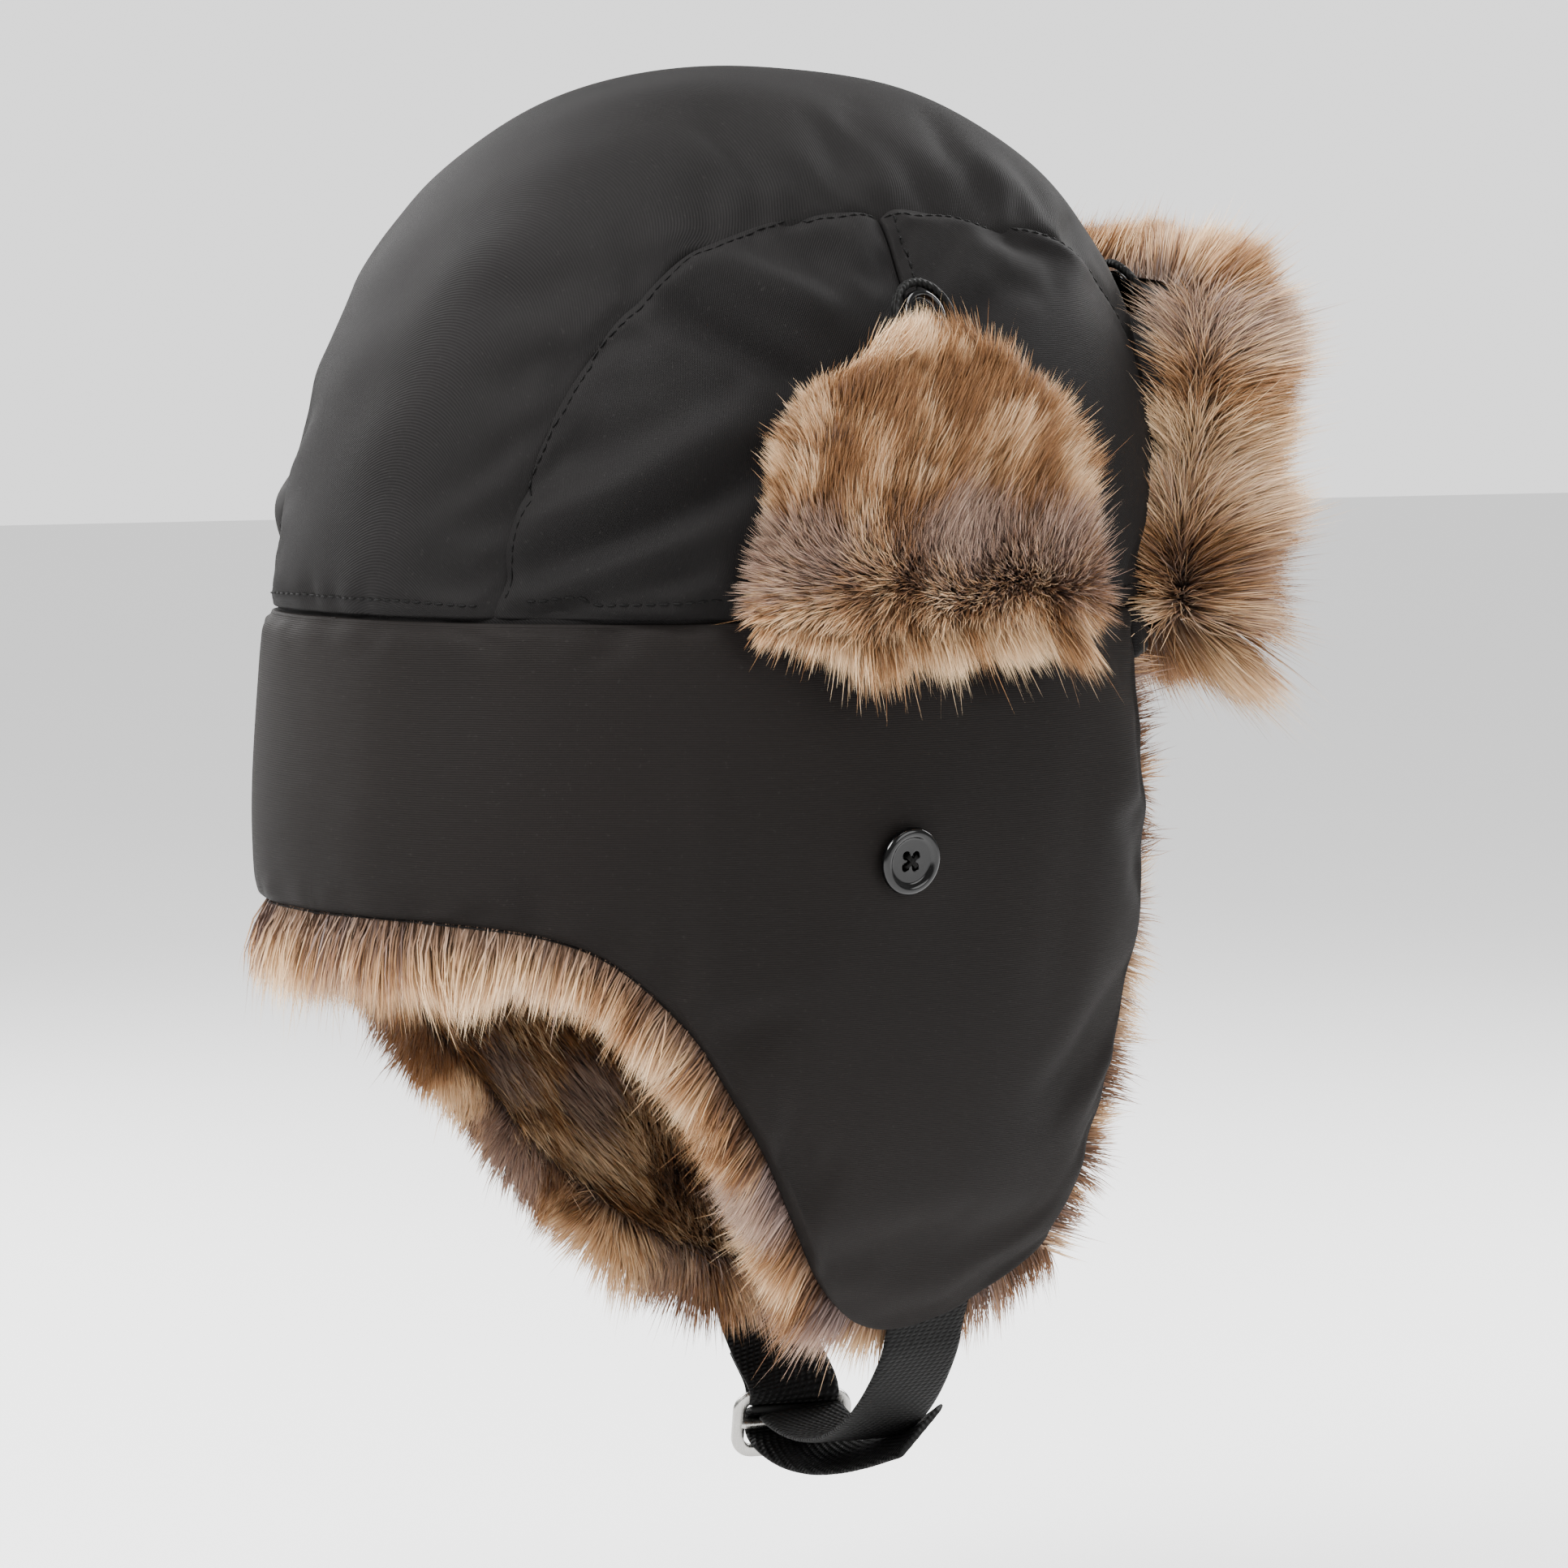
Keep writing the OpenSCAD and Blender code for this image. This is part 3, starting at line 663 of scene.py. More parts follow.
for where, side in SIDES:
    u, v = np.meshgrid(seam_samples(54, (0.0, 0.004, 0.009, 0.016)),
                       seam_samples(30, (0.0, 0.01, 0.022, 0.04)))
    flat = low_uv(u, v, 0)
    back, front, top, hem = edge_distances(flat)
    o = -0.6 - 2.8 * ease(-flat[..., 2] / 62) * ease((flat[..., 1] - 20) / 60)
    o = o + folds(flat, LOW_FOLDS) + 0.5 * waves(flat, 70, 5 + side) * ease(back / 25)
    near = np.linalg.norm(flat - low_at(2.6, -61, 0), axis=-1)
    o = o + 1.5 * np.exp(-(near / 15) ** 2) - 0.9 * np.exp(-(near / 4) ** 2)
    o = o + 0.35 * waves(flat, 9, 63) * np.exp(-(hem / 7) ** 2) * ease(back / 8)
    o = o + seam_valley(top, flat, 61, 1.5)
    o = o - rolled(hem, 4.0) - rolled(front, 4.0)
    inner = -6.8 + 0.6 * (rolled(hem, 4.0) + rolled(front, 4.0))
    panel = shell_mesh(f"neck_and_ear_flap_{where}", mirrored(low_uv(u, v, o), side),
                       mirrored(low_uv(u, v, inner), side), flip=side < 0)
    keep_sharp(panel, lambda q: np.abs(q[:, 0]) < 1.2)
    cloth(panel, pinned(back, front, top, hem), cap=1.6, gain=ease(np.tile(back.ravel(), 2) / 70))
    subdivide(panel, 2)
    finish_piece(panel, TWILL_LOW, fold_blend(side, f"ear_flap_{where}"),
                 [f"neck_panel_{where}", f"neck_wadding_{where}",
                  f"ear_flap_shell_{where}", f"ear_flap_wadding_{where}"])

t, k = np.meshgrid(np.linspace(-135.2, -44.8, 40), np.linspace(0, 1, 8))
band = low_at(t, -0.8 - 14 * k, 0)
top, hem = edge_distances(band)[2:]
o = 0.6 - 1.2 * np.exp(-(top / 2.5) ** 2) - rolled(hem, 2.5)
forehead = shell_mesh("forehead_panel", low_at(t, -0.8 - 14 * k, o), low_at(t, -0.8 - 14 * k, -5.5),
                      flip=True)
subdivide(forehead, 2)
finish_piece(forehead, TWILL, "hat", ["forehead_band"])


# ---------- visor and side flaps ----------

def visor_at(u, v, o, over=0.0, low=-3.0):
    """Point of the raised visor: u from -1 to 1 along it, v from 0 at its fold to 1 at its edge."""
    u, v, o = arr(u, v, o)
    reach = math.degrees(math.asin((62 + over) / (HALF_W + 22))) + 2
    c0, c1 = ring(-90 + u * reach * (1 - 0.1 * np.clip(v, 0, 1) ** 4))
    z = low + (85 + over - 9 * np.abs(u) ** 3 - low) * v
    off = o + 6 + 6 * ease(v)
    return np.stack([(HALF_W + off) * c0, -(HALF_L + off) * (1 - 0.8 * (1 + c1)), z], -1)


def flap_at(u, v, o, over=0.0, low=1.0):
    """Point of a raised side flap: u from -1 at its front to 1 at its rear, v from its fold to its top."""
    u, v, o = arr(u, v, o)
    k = np.clip(v, 0, 1)
    w = (49 + over) * (1 - 0.28 * k) * (1 - 0.62 * k ** 10) ** 0.3
    return side_at(u * w, low + (64 + over - 5 * u * u - low) * v, o)


def strip_to(points, start, rows=6):
    """Grid rows from a line of start points up to a grid's first row, then the grid."""
    k = np.linspace(0, 1, rows, endpoint=False)[:, None, None]
    return np.concatenate([start[None] * (1 - k) + points[:1] * k, points])


def folded_piece(name, at, u, v, radius, offsets, starts, flip, body, nodes, side=1):
    """Padded flap over the grid at(u, v, offset): rolled edges, and a strip below its fold."""
    front, rear, _, hem = edge_distances(at(u, v, 0))
    rim = rolled(front, radius) + rolled(rear, radius) + rolled(hem, radius)
    near, far = at(u, v, offsets[0] + 0.6 * rim), at(u, v, offsets[1] - 0.6 * rim)
    obj = shell_mesh(name, mirrored(strip_to(near, starts[0]), side),
                     mirrored(strip_to(far, starts[1]), side), flip=flip)
    subdivide(obj, 2)
    finish_piece(obj, TWILL, body, nodes)


u, v = np.meshgrid(seam_samples(34, (0.0, 0.01, 0.025, 0.045)) * 2 - 1,
                   seam_samples(18, (0.0, 0.015, 0.03, 0.06)))
angle = -90 + 35.5 * u[0]
folded_piece("visor_fabric", visor_at, u, v, 3.0, (-0.2, 5.4),
             (low_at(angle, -7, 0.8), low_at(angle, -8.5, 1.6)), True,
             ("hat", "visor", (0, -0.13, -0.007), (0, -0.13, 0.004)), ["visor_shell", "visor_wadding"])
u, v = np.meshgrid(seam_samples(26, (0.0, 0.01, 0.03, 0.055)) * 2 - 1,
                   seam_samples(15, (0.0, 0.02, 0.045, 0.08)))
for where, side in SIDES:
    folded_piece(f"side_flap_fabric_{where}", flap_at, u, v, 2.6, (2.0, 7.2),
                 (side_at(u[0] * 47, -7, 0.6), side_at(u[0] * 47, -9, 1.4)), side > 0,
                 ("hat", f"side_flap_{where}", (side * 0.1, 0, -0.007), (side * 0.1, 0, 0.004)),
                 [f"side_flap_shell_{where}", f"side_flap_wadding_{where}"], side)


# ---------- fur ----------

HAIRS = 1.0
CLUMP = 2.4
"""Size in mm of the cells whose hairs' tips come together."""
DOWN = np.array([0, 0, -1.0])


def sample_patch(count, at, nu=90, nv=60, weight=None):
    """Even random roots on a patch: at(u, v) gives its points, u and v from 0 to 1."""
    uu, vv = np.meshgrid((np.arange(nu) + 0.5) / nu, (np.arange(nv) + 0.5) / nv)
    a = np.linalg.norm(np.cross(at(uu + 0.5 / nu, vv) - at(uu - 0.5 / nu, vv),
                                at(uu, vv + 0.5 / nv) - at(uu, vv - 0.5 / nv)), axis=-1)
    if weight is not None:
        a = a * weight(uu, vv)
    run = np.cumsum(a.ravel())
    pick = np.searchsorted(run, (np.arange(count) + rng.random(count)) / count * run[-1])
    pick = np.minimum(pick, run.size - 1)
    u = uu.ravel()[pick] + (rng.random(count) - 0.5) / nu
    v = vv.ravel()[pick] + (rng.random(count) - 0.5) / nv
    u, v = np.clip(u, 0.002, 0.998), np.clip(v, 0.002, 0.998)
    h = 0.004
    du, dv = at(u + h, v) - at(u - h, v), at(u, v + h) - at(u, v - h)
    return u, v, at(u, v), unit(du), unit(dv)


def tone_field(p, seed, size=24):
    """Brown to cream markings from 0 to 1, in patches about size mm across."""
    return np.clip(0.46 + 0.55 * waves(p, size, seed, 6) + 0.22 * waves(p, size / 3, seed + 1, 6), 0, 1)


def fur(name, roots, stand, flow, length, tone, body, replaces=(), ash=0.0, width=0.34, part=(0, 1), seed=1,
        side=1):
    """Ribbon hairs from roots: stand is each hair's direction at its root, flow the one at its tip.
    part (k, m) takes every m-th root, from the k-th on. A side of -1 mirrors the hairs."""
    take = slice(part[0], None, part[1])
    roots, stand, flow = (mirrored(a, side)[take] for a in (roots, stand, flow))
    length, tone = length[take], tone[take]
    ash = ash[take] if np.ndim(ash) else ash
    r = np.random.default_rng(seed)
    n = len(roots)
    stand = unit(stand + 0.16 * r.normal(size=(n, 3)))
    flow = unit(flow + 0.13 * r.normal(size=(n, 3)))
    long = length * np.clip(r.normal(1, 0.16, n), 0.45, 1.4)
    guard = r.random(n) < 0.045
    long = np.where(guard, long * 1.28, long)[:, None]
    mid = roots + stand * long * 0.48
    tip = mid + unit(flow + 0.25 * stand) * long * 0.56
    cell = np.floor(roots / CLUMP + waves(roots, 9, seed + 40)[:, None] * 0.45).astype(np.int64)
    key = (cell[:, 0] * 73856093) ^ (cell[:, 1] * 19349663) ^ (cell[:, 2] * 83492791)
    _, which = np.unique(key, return_inverse=True)
    which = which.ravel()
    size = np.bincount(which)
    heads = np.stack([np.bincount(which, tip[:, k]) / size for k in range(3)], 1)
    heads += 1.2 * r.normal(size=heads.shape)
    pull = np.where(guard, 0.1, r.uniform(0.1, 0.5, n))[:, None]
    tip = tip + (heads[which] - tip) * pull
    mid = mid + (heads[which] - tip) * pull * 0.12
    s = np.array([0, 0.34, 0.68, 1.0])[None, :, None]
    curve = (1 - s) ** 2 * roots[:, None] + 2 * s * (1 - s) * mid[:, None] + s ** 2 * tip[:, None]
    across = unit(np.cross(tip - roots, r.normal(size=(n, 3))))[:, None]
    wide = width * np.where(guard, 0.75, r.uniform(0.75, 1.25, n))[:, None, None] * 0.5
    taper = np.array([0.9, 1.0, 0.55])[None, :, None]
    body_rows = curve[:, :3]
    left, right = body_rows - across * wide * taper, body_rows + across * wide * taper
    co = np.concatenate([np.stack([left, right], 2).reshape(n, 6, 3), curve[:, 3:]], 1).reshape(-1, 3)
    base = np.arange(n)[:, None] * 7
    quads = (base[..., None] + np.array([[0, 1, 3, 2], [2, 3, 5, 4]])).reshape(-1, 4)
    tips = base + np.array([4, 5, 6])
    along = np.tile([0, 0, 0.34, 0.34, 0.68, 0.68, 1.0], n)
    tones = np.clip(tone + 0.10 * r.normal(size=n) + 0.14 * r.normal(size=size.size)[which], 0, 1)
    ashes = np.clip(ash + 0.5 + 0.55 * waves(roots, 30, seed + 60, 6) - 0.28 + 0.12 * r.normal(size=n), 0, 1)
    side_count = int(math.ceil(n ** 0.5))
    col, row = np.arange(n) % side_count, np.arange(n) // side_count
    cell_uv = np.stack([col, row], 1)[:, None] + 0.08
    spot = np.array([[0, 0], [0.84, 0], [0, 0.3], [0.84, 0.3], [0.1, 0.6], [0.74, 0.6], [0.42, 0.84]])[None]
    uv = ((cell_uv + spot) / side_count).reshape(-1, 2)
    obj = mesh_from(name, co, [quads, tips], uv={"OFBake": uv},
                    attributes={"along": along, "tone": np.repeat(tones, 7), "ash": np.repeat(ashes, 7)})
    return finish_piece(obj, FUR, body, replaces)


def fur_pair(part, where, roots, stand, flow, length, under, tone, body, replaces, ash, seed, side=1):
    """Every other hair as pile, the rest as an undercoat that is shorter by the factor under."""
    fur(f"{part}_pile_{where}", roots, stand, flow, length, tone, body, replaces, ash, part=(0, 2),
        seed=seed, side=side)
    fur(f"{part}_undercoat_{where}", roots, stand, flow, under * length, tone, body, (), ash, part=(1, 2),
        seed=seed + 10, side=side)


def backing(name, at, offsets, counts, flip, body, side=1, reach=(1, 1)):
    """The knitted backing under the hairs of a patch, between two offsets."""
    u, v = np.meshgrid(np.linspace(0, reach[0], counts[0]), np.linspace(0, reach[1], counts[1]))
    outer, inner = (mirrored(at(u, v, o), side) for o in offsets)
    finish_piece(shell_mesh(name, outer, inner, flip), PILE, body)


def directions(at, u, v, h):
    """Unit directions of growing u and growing v on a patch, inside its borders."""
    u, v = np.clip(u, h, 1 - h), np.clip(v, h, 1 - h)
    return unit(at(u + h, v) - at(u - h, v)), unit(at(u, v + h) - at(u, v - h))


def rooted(at, body_count, edge_count, edges, out, thick):
    """Roots over a patch and along its outline, where they go through the pad from offset out down.
    edges has equal shares of the outline as (u, v), with None for the one that runs along it."""
    body_count, edge_count = int(body_count * HAIRS), int(edge_count * HAIRS)
    u, v, p, du, dv = sample_patch(body_count, at)
    walk = rng.random(edge_count) * len(edges)
    leg, frac = walk.astype(int), walk % 1
    eu, ev = (np.select([leg == i for i in range(len(edges))],
                        [frac if e[k] is None else e[k] + 0 * frac for e in edges]) for k in (0, 1))
    depth = rng.random(edge_count) * thick
    q = at(eu, ev, out - depth)
    edu, edv = directions(at, eu, ev, 0.01)
    body = np.zeros(body_count)
    u, v, p, du, dv, rim, deep, leg = (np.concatenate(pair) for pair in (
        (u, eu), (v, ev), (p, q), (du, edu), (dv, edv), (body, 1 + 0 * depth), (body, depth / thick),
        (body - 1, leg)))
    return u, v, p, du, dv, unit(np.cross(du, dv)), rim[:, None], deep[:, None], leg[:, None]


def facing(n, p, z, away=1):
    """Normals n at points p, turned away from (1) or to (-1) the point at height z inside the hat."""
    return n * np.sign(away * np.sum(n * (p - np.array([0.0, 0, z])), 1, keepdims=True))


# side flaps
for where, side in SIDES:
    def patch(u, v, o=0.0):
        return flap_at(u * 2 - 1, v, 8.2 + o, over=-1.0, low=2.0)

    u, v, p, du, dv, n, rim, _, leg = rooted(
        patch, 42000, 24000, ((None, 0), (None, 0), (1, None), (None, 1), (0, None)), 0.0, 5.0)
    hang = 1.0 * ((leg == 0) | (leg == 1))
    out = (2 * u - 1)[:, None]
    edge = np.clip(np.abs(out), 0, 1) ** 4
    up = np.tanh((p[:, 2:] - 7 + 3 * waves(p, 40, 80 + side)[:, None]) / 9)
    up = up * (1 - hang) - 1.1 * hang
    spread = 0.3 + 0.9 * edge * (1 - 0.5 * hang) * (1 - 0.6 * ease(2 * v - 1)[:, None])
    comb = dv * up * 0.95 + du * out * spread
    comb = comb + (0.4 * waves(p, 26, 77 + side)[:, None] + 0.85 * np.clip(1 - up ** 2, 0, 1)) * du
    stand = n * (0.85 - 0.45 * rim + 0.25 * hang) + comb * (0.4 + 0.6 * rim - 0.3 * hang)
    flow = comb + n * (0.42 - 0.2 * rim + 0.1 * hang)
    lump = 1 + 0.16 * waves(p, 16, 90)
    length = 16.5 - 4.5 * rim[:, 0] * (np.abs(out[:, 0]) > 0.8) - (2.5 + 2.0 * (out[:, 0] < 0)) * edge[:, 0]
    length = (length + 1.5 * hang[:, 0]) * lump * (
        1 - ease((v - 0.55) / 0.45) * (0.33 - 0.3 * np.exp(-((np.abs(out[:, 0]) - 0.6) / 0.28) ** 2)))
    far_out = np.clip(np.maximum(np.abs(out[:, 0]), np.abs(2 * v - 1)), 0, 1)
    tone = tone_field(p * [1, 1, 0.7], 101, 15) - 0.24 + 0.38 * (far_out ** 4) - 0.14 * np.exp(
        -((p[:, 1] + 4) / 26) ** 2 - ((p[:, 2] - 42) / 20) ** 2)
    ash = 0.62 * np.exp(-((p[:, 2] - 13) / 10) ** 2) - 0.22 - 0.2 * hang[:, 0]
    fur_pair("side_flap", where, p, stand, flow, length, 0.8, tone, f"side_flap_{where}",
             [f"side_flap_fur_{where}"], ash, 200 + side, side)
    backing(f"side_flap_backing_{where}", patch, (2.2, -1.0), (30, 22), side < 0, f"side_flap_{where}", side)


# visor
def visor_patch(u, v, o=0.0):
    return visor_at(u * 2 - 1, v, 6.4 + o, over=1.0)


for where, side in SIDES:
    a, b = (0.5, 1.0) if side > 0 else (0.0, 0.5)
    end = (b if side > 0 else a)

    def patch(u, v, o=0.0, a=a, b=b):
        return visor_patch(a + (b - a) * u, v, o)

    u, v, p, du, dv, n, rim, deep, leg = rooted(
        patch, 35000, 36000, ((None, 0), (None, 1), (end, None), (end, None)), 1.0, 7.5)
    hang, at_end = 1.0 * (leg == 0), 1.0 * (leg >= 2)
    out = ((a + (b - a) * u) * 2 - 1)[:, None]
    edge = np.clip(np.abs(out), 0, 1) ** 5
    up = np.tanh((p[:, 2:] - 7 + 6 * at_end + 3 * waves(p, 40, 180)[:, None]) / 10)
    up = up * (1 - hang) - 1.0 * hang
    sweep = np.sign(out) * du
    comb = dv * up * (0.9 - 0.35 * at_end) + du * out * 0.25 + sweep * edge * (0.45 - 0.3 * at_end)
    comb = comb + (0.4 * waves(p, 28, 177)[:, None] + 0.7 * np.sign(out) * (1 - up ** 2) * (1 - edge)) * du
    back = ease((deep + 0.13 * rng.normal(size=deep.shape) - 0.62) / 0.3)
    stand = n * (0.85 - 0.4 * rim + at_end * (0.1 - 1.4 * back)) + comb * (0.4 + 0.5 * rim) \
        + sweep * 0.45 * at_end
    flow = comb + n * (0.5 - 0.1 * rim + 0.45 * edge + at_end * (0.5 - 2.3 * back))
    low = 1 - ease((p[:, 2] - 2) / 40)
    flow = flow + n * (0.45 * low * (1 - deep[:, 0]))[:, None]
    length = 17.0 + 3.5 * low * (1 - rim[:, 0]) + 7.0 * hang[:, 0] + edge[:, 0] * (5.0 + 5.0 * low) \
        + 3.0 * at_end[:, 0]
    length = length * (1 + 0.15 * waves(p, 16, 190))
    tone = tone_field(p * [1, 1, 1.2], 131, 24) - 0.15 + 0.2 * np.clip(np.abs(out[:, 0]), 0, 1) ** 3 \
        + 0.2 * np.clip(2 * v - 1, 0, 1) ** 3 + 0.26 * at_end[:, 0]
    ash = 0.26 * at_end[:, 0] * (1 - 0.5 * deep[:, 0]) - 0.12
    fur_pair("visor", where, p, stand, flow, length, 0.82, tone, "visor",
             ["visor_fur"] if side > 0 else [], ash, 300 + side)
backing("visor_backing", visor_patch, (2.4, -0.8), (44, 24), True, "visor")


# neck and ear flaps: the lining's pile inside, and the hairs that show along the hem and the front edge
def lower_hairs(where, side):
    blend = fold_blend(side, f"ear_flap_{where}")

    def inside(u, v, o=0.0):
        return low_uv(1 - u, v, -8.2 - o)

    def add(name, count, low_u, high_u, low_v, high_v, replaces, seed, width):
        u, v, p, du, dv = sample_patch(int(count * HAIRS), lambda a, b: inside(
            low_u + (high_u - low_u) * a, low_v + (high_v - low_v) * b))
        n = facing(unit(np.cross(du, dv)), p, -80, -1)
        sway = 0.5 * waves(p, 34, seed + 3)[:, None]
        comb = dv * 0.9 + sway * du + np.array([0, 0, -0.3])
        length = 15.5 * (1 + 0.16 * waves(p, 16, seed + 5))
        fur(name, p, n * 0.9 + comb * 0.35, comb + n * 0.5, length,
            tone_field(p, seed + 7, 28) - (0.16 if "neck" in name else 0.06), blend, replaces,
            width=width, seed=seed, side=side)

    add(f"neck_pile_{where}", 27000, 0.34, 1.0, 0.02, 0.97, [f"neck_fur_{where}"], 400 + side, 0.5)
    add(f"ear_flap_pile_{where}", 30000, 0.0, 0.4, 0.10, 0.98, [f"ear_flap_fur_{where}"], 420 + side, 0.5)

    def rim(name, count, at_hem, seed):
        count = int(count * HAIRS)
        k = rng.random(count)
        deep = rng.random(count)
        if at_hem:
            u, v = k, 0.985 + 0 * k
        else:
            u, v = 0.985 + 0 * k, k ** 0.9
        p = low_uv(u, v, -5.6 - 9.5 * deep)
        du, dv = directions(lambda a, b: low_uv(a, b, -6), u, v, 0.006)
        n = facing(unit(np.cross(dv, du)), p, -80)
        if at_hem:
            out = unit(dv - du * np.sum(dv * du, 1, keepdims=True))
        else:
            out = unit(du - dv * np.sum(dv * du, 1, keepdims=True))
        lean_in = deep[:, None]
        sway = 0.6 * waves(p, 22, seed + 3)[:, None] * (du if at_hem else dv)
        comb = out * (0.65 if at_hem else 1.1) + DOWN * (0.8 if at_hem else 0.25) + sway
        stand = out * 0.95 + n * (0.42 - 1.1 * lean_in)
        flow = comb + n * ((0.05 if at_hem else 0.25) - 0.75 * lean_in)
        length = (22.0 if at_hem else 17.5) * (1 + 0.15 * waves(p, 15, seed + 5)) * (1 - 0.12 * lean_in[:, 0])
        if at_hem:
            slope = ease((u - 0.2) / 0.12) * (1 - ease((u - 0.66) / 0.12))
            length = length * (1 - (0.27 if side < 0 else 0.42) * slope - 0.1 * ease((u - 0.6) / 0.12))
        tone = tone_field(p, seed + 7, 24) + 0.1 - 0.16 * ease((u - 0.25) / 0.2)
        fur(name, p, stand, flow, length, tone, blend, width=0.42, seed=seed, side=side)

    rim(f"hem_pile_{where}", 26000, True, 440 + side)
    rim(f"front_pile_{where}", 11000, False, 460 + side)
    backing(f"lower_backing_{where}", low_uv, (-7.2, -10.2), (60, 40), side < 0, blend, side, (0.985, 0.98))


for where, side in SIDES:
    lower_hairs(where, side)


def forehead_patch(u, v, o=0.0):
    return low_at(-136 + 92 * u, -1.5 - 15 * v, -8.2 - o)


u, v, p, du, dv = sample_patch(int(15000 * HAIRS), forehead_patch)
n = facing(unit(np.cross(du, dv)), p, -10, -1)
fur("forehead_pile", p, n * (0.9 - 0.6 * v[:, None]) + DOWN * (0.3 + 0.6 * v[:, None]), DOWN + n * 0.35,
    14.0 * (1 + 0.15 * waves(p, 16, 501)), tone_field(p, 503, 26), "hat", ["forehead_fur"],
    width=0.5, seed=500)
backing("forehead_backing", forehead_patch, (-1.0, 1.6), (40, 6), True, "hat")


# ---------- lining ----------

QUILT = 34


def lining_grid(o, quilted):
    b, a = np.meshgrid(np.linspace(0, 180, 110), np.linspace(179.2, 0.8, 130), indexing="ij")
    p = crown_at(b, ring(a)[1], 0)
    p[..., 0] *= np.where(a > 90, -1, 1)
    if quilted:
        across, along = p[..., 0] * 1.15 / QUILT, p[..., 1] / QUILT
        height = np.abs(np.sin(math.pi * (across + along) / 1.414)
                        * np.sin(math.pi * (across - along) / 1.414))
        o = o - 3.0 * np.sqrt(height) * ease((p[..., 2] - 2) / 20)
    q = crown_at(b, ring(a)[1], o)
    q[..., 0] *= np.where(a > 90, -1, 1)
    return q


lining = shell_mesh("quilted_lining", lining_grid(-6.6, False), lining_grid(-8.4, True), flip=True)
finish_piece(lining, SATIN, "hat", ["crown_lining"])


def ring_line(depth, z, count=180):
    c0, c1 = ring(np.arange(count) * 360 / count)
    return np.stack([(HALF_W - depth) * c0, (HALF_L - depth) * c1 - lean(z), z + 0 * c0], -1)


profile = ((10.2, -1.5), (11.6, -2.4), (12.6, -1.2), (12.9, 2), (12.8, 7), (12.2, 10.2), (11.2, 11.4),
           (10.0, 10.8))
rows = np.stack([ring_line(d, z) for d, z in profile])
core = np.stack([ring_line(9.6, z) for d, z in profile])
binding = shell_mesh("lining_tape", rows, core, flip=False, wrap=True)
subdivide(binding, 1)
finish_piece(binding, SATIN, "hat", ["lining_binding"])


# ---------- stitches ----------

def tube(points, radius, sides=6):
    """Vertices and faces of a tube along (..., k, 3) points; radius may vary along it."""
    points = np.asarray(points, float)
    many = points.reshape(-1, points.shape[-2], 3)
    m, k = many.shape[:2]
    d = unit(np.gradient(many, axis=1))
    ref = np.where(np.abs(d[..., 2:]) > 0.9, np.array([1.0, 0, 0]), np.array([0, 0, 1.0]))
    a = unit(np.cross(d, ref))
    b = np.cross(d, a)
    phi = np.arange(sides) * 2 * math.pi / sides
    r = np.broadcast_to(np.asarray(radius, float), (k,))[None, :, None, None]
    co = many[:, :, None] + r * (np.cos(phi)[:, None] * a[:, :, None] + np.sin(phi)[:, None] * b[:, :, None])
    i, j = np.meshgrid(np.arange(k - 1), np.arange(sides), indexing="ij")
    jn = (j + 1) % sides
    quads = np.stack([i * sides + j, i * sides + jn, (i + 1) * sides + jn, (i + 1) * sides + j], -1)
    quads = (np.arange(m)[:, None, None] * k * sides + quads.reshape(-1, 4)).reshape(-1, 4)
    caps = []
    for row, order in ((0, slice(None, None, -1)), (k - 1, slice(None))):
        caps.append(np.arange(m)[:, None] * k * sides + row * sides + np.arange(sides)[order])
    return co.reshape(-1, 3), [quads] + caps


def even(points, step):
    run = run_along(points)
    return line_at(np.arange(0, run[-1], step), run, points)


def surface_tree(objs):
    co, faces, base = [], [], 0
    for o in objs:
        co.append(points_of(o))
        faces += [tuple(base + i for i in f.vertices) for f in o.data.polygons]
        base += len(co[-1])
    return BVHTree.FromPolygons(np.concatenate(co).tolist(), faces)


def press(objs, line, depth, width):
    """Draws the fabric in along a stitched line."""
    tree = KDTree(len(line))
    for i, q in enumerate(line):
        tree.insert(q, i)
    tree.balance()
    for o in objs:
        co = points_of(o)
        normal = np.zeros(len(co) * 3, np.float32)
        o.data.vertices.foreach_get("normal", normal)
        far = np.array([tree.find(q)[2] for q in co])
        put_points(o, co - normal.reshape(-1, 3) * (depth * np.exp(-(far / width) ** 2))[:, None])


def stitch_row(name, line, objs, body="hat", pitch=3.4, gap=0.8):
    """A row of stitches lying in the fabric along a line of points in mm."""
    line = even(line, 0.5)
    press(objs, line, 0.45, 1.3)
    tree = surface_tree(objs)
    laid = []
    for q in line:
        spot, normal, _, _ = tree.find_nearest(Vector(q))
        laid.append(np.array(spot) + np.array(normal) * 0.08)
    laid = np.array(laid)
    starts = np.arange(0, len(laid) * 0.5 - pitch, pitch)
    along = np.arange(len(laid)) * 0.5
    k = np.linspace(0, 1, 6)
    rows = []
    centre = np.array([0, 0, 20.0])
    for s0 in starts:
        at = s0 + gap / 2 + k * (pitch - gap)
        pts = line_at(at, along, laid)
        rise = np.sin(math.pi * k)[:, None] * 0.22 - 0.12
        rows.append(pts + unit(pts - centre) * rise)
    co, faces = tube(np.array(rows), np.array([0.12, 0.25, 0.28, 0.28, 0.25, 0.12]), 6)
    obj = mesh_from(name, co, faces)
    return finish_piece(obj, THREAD, body)


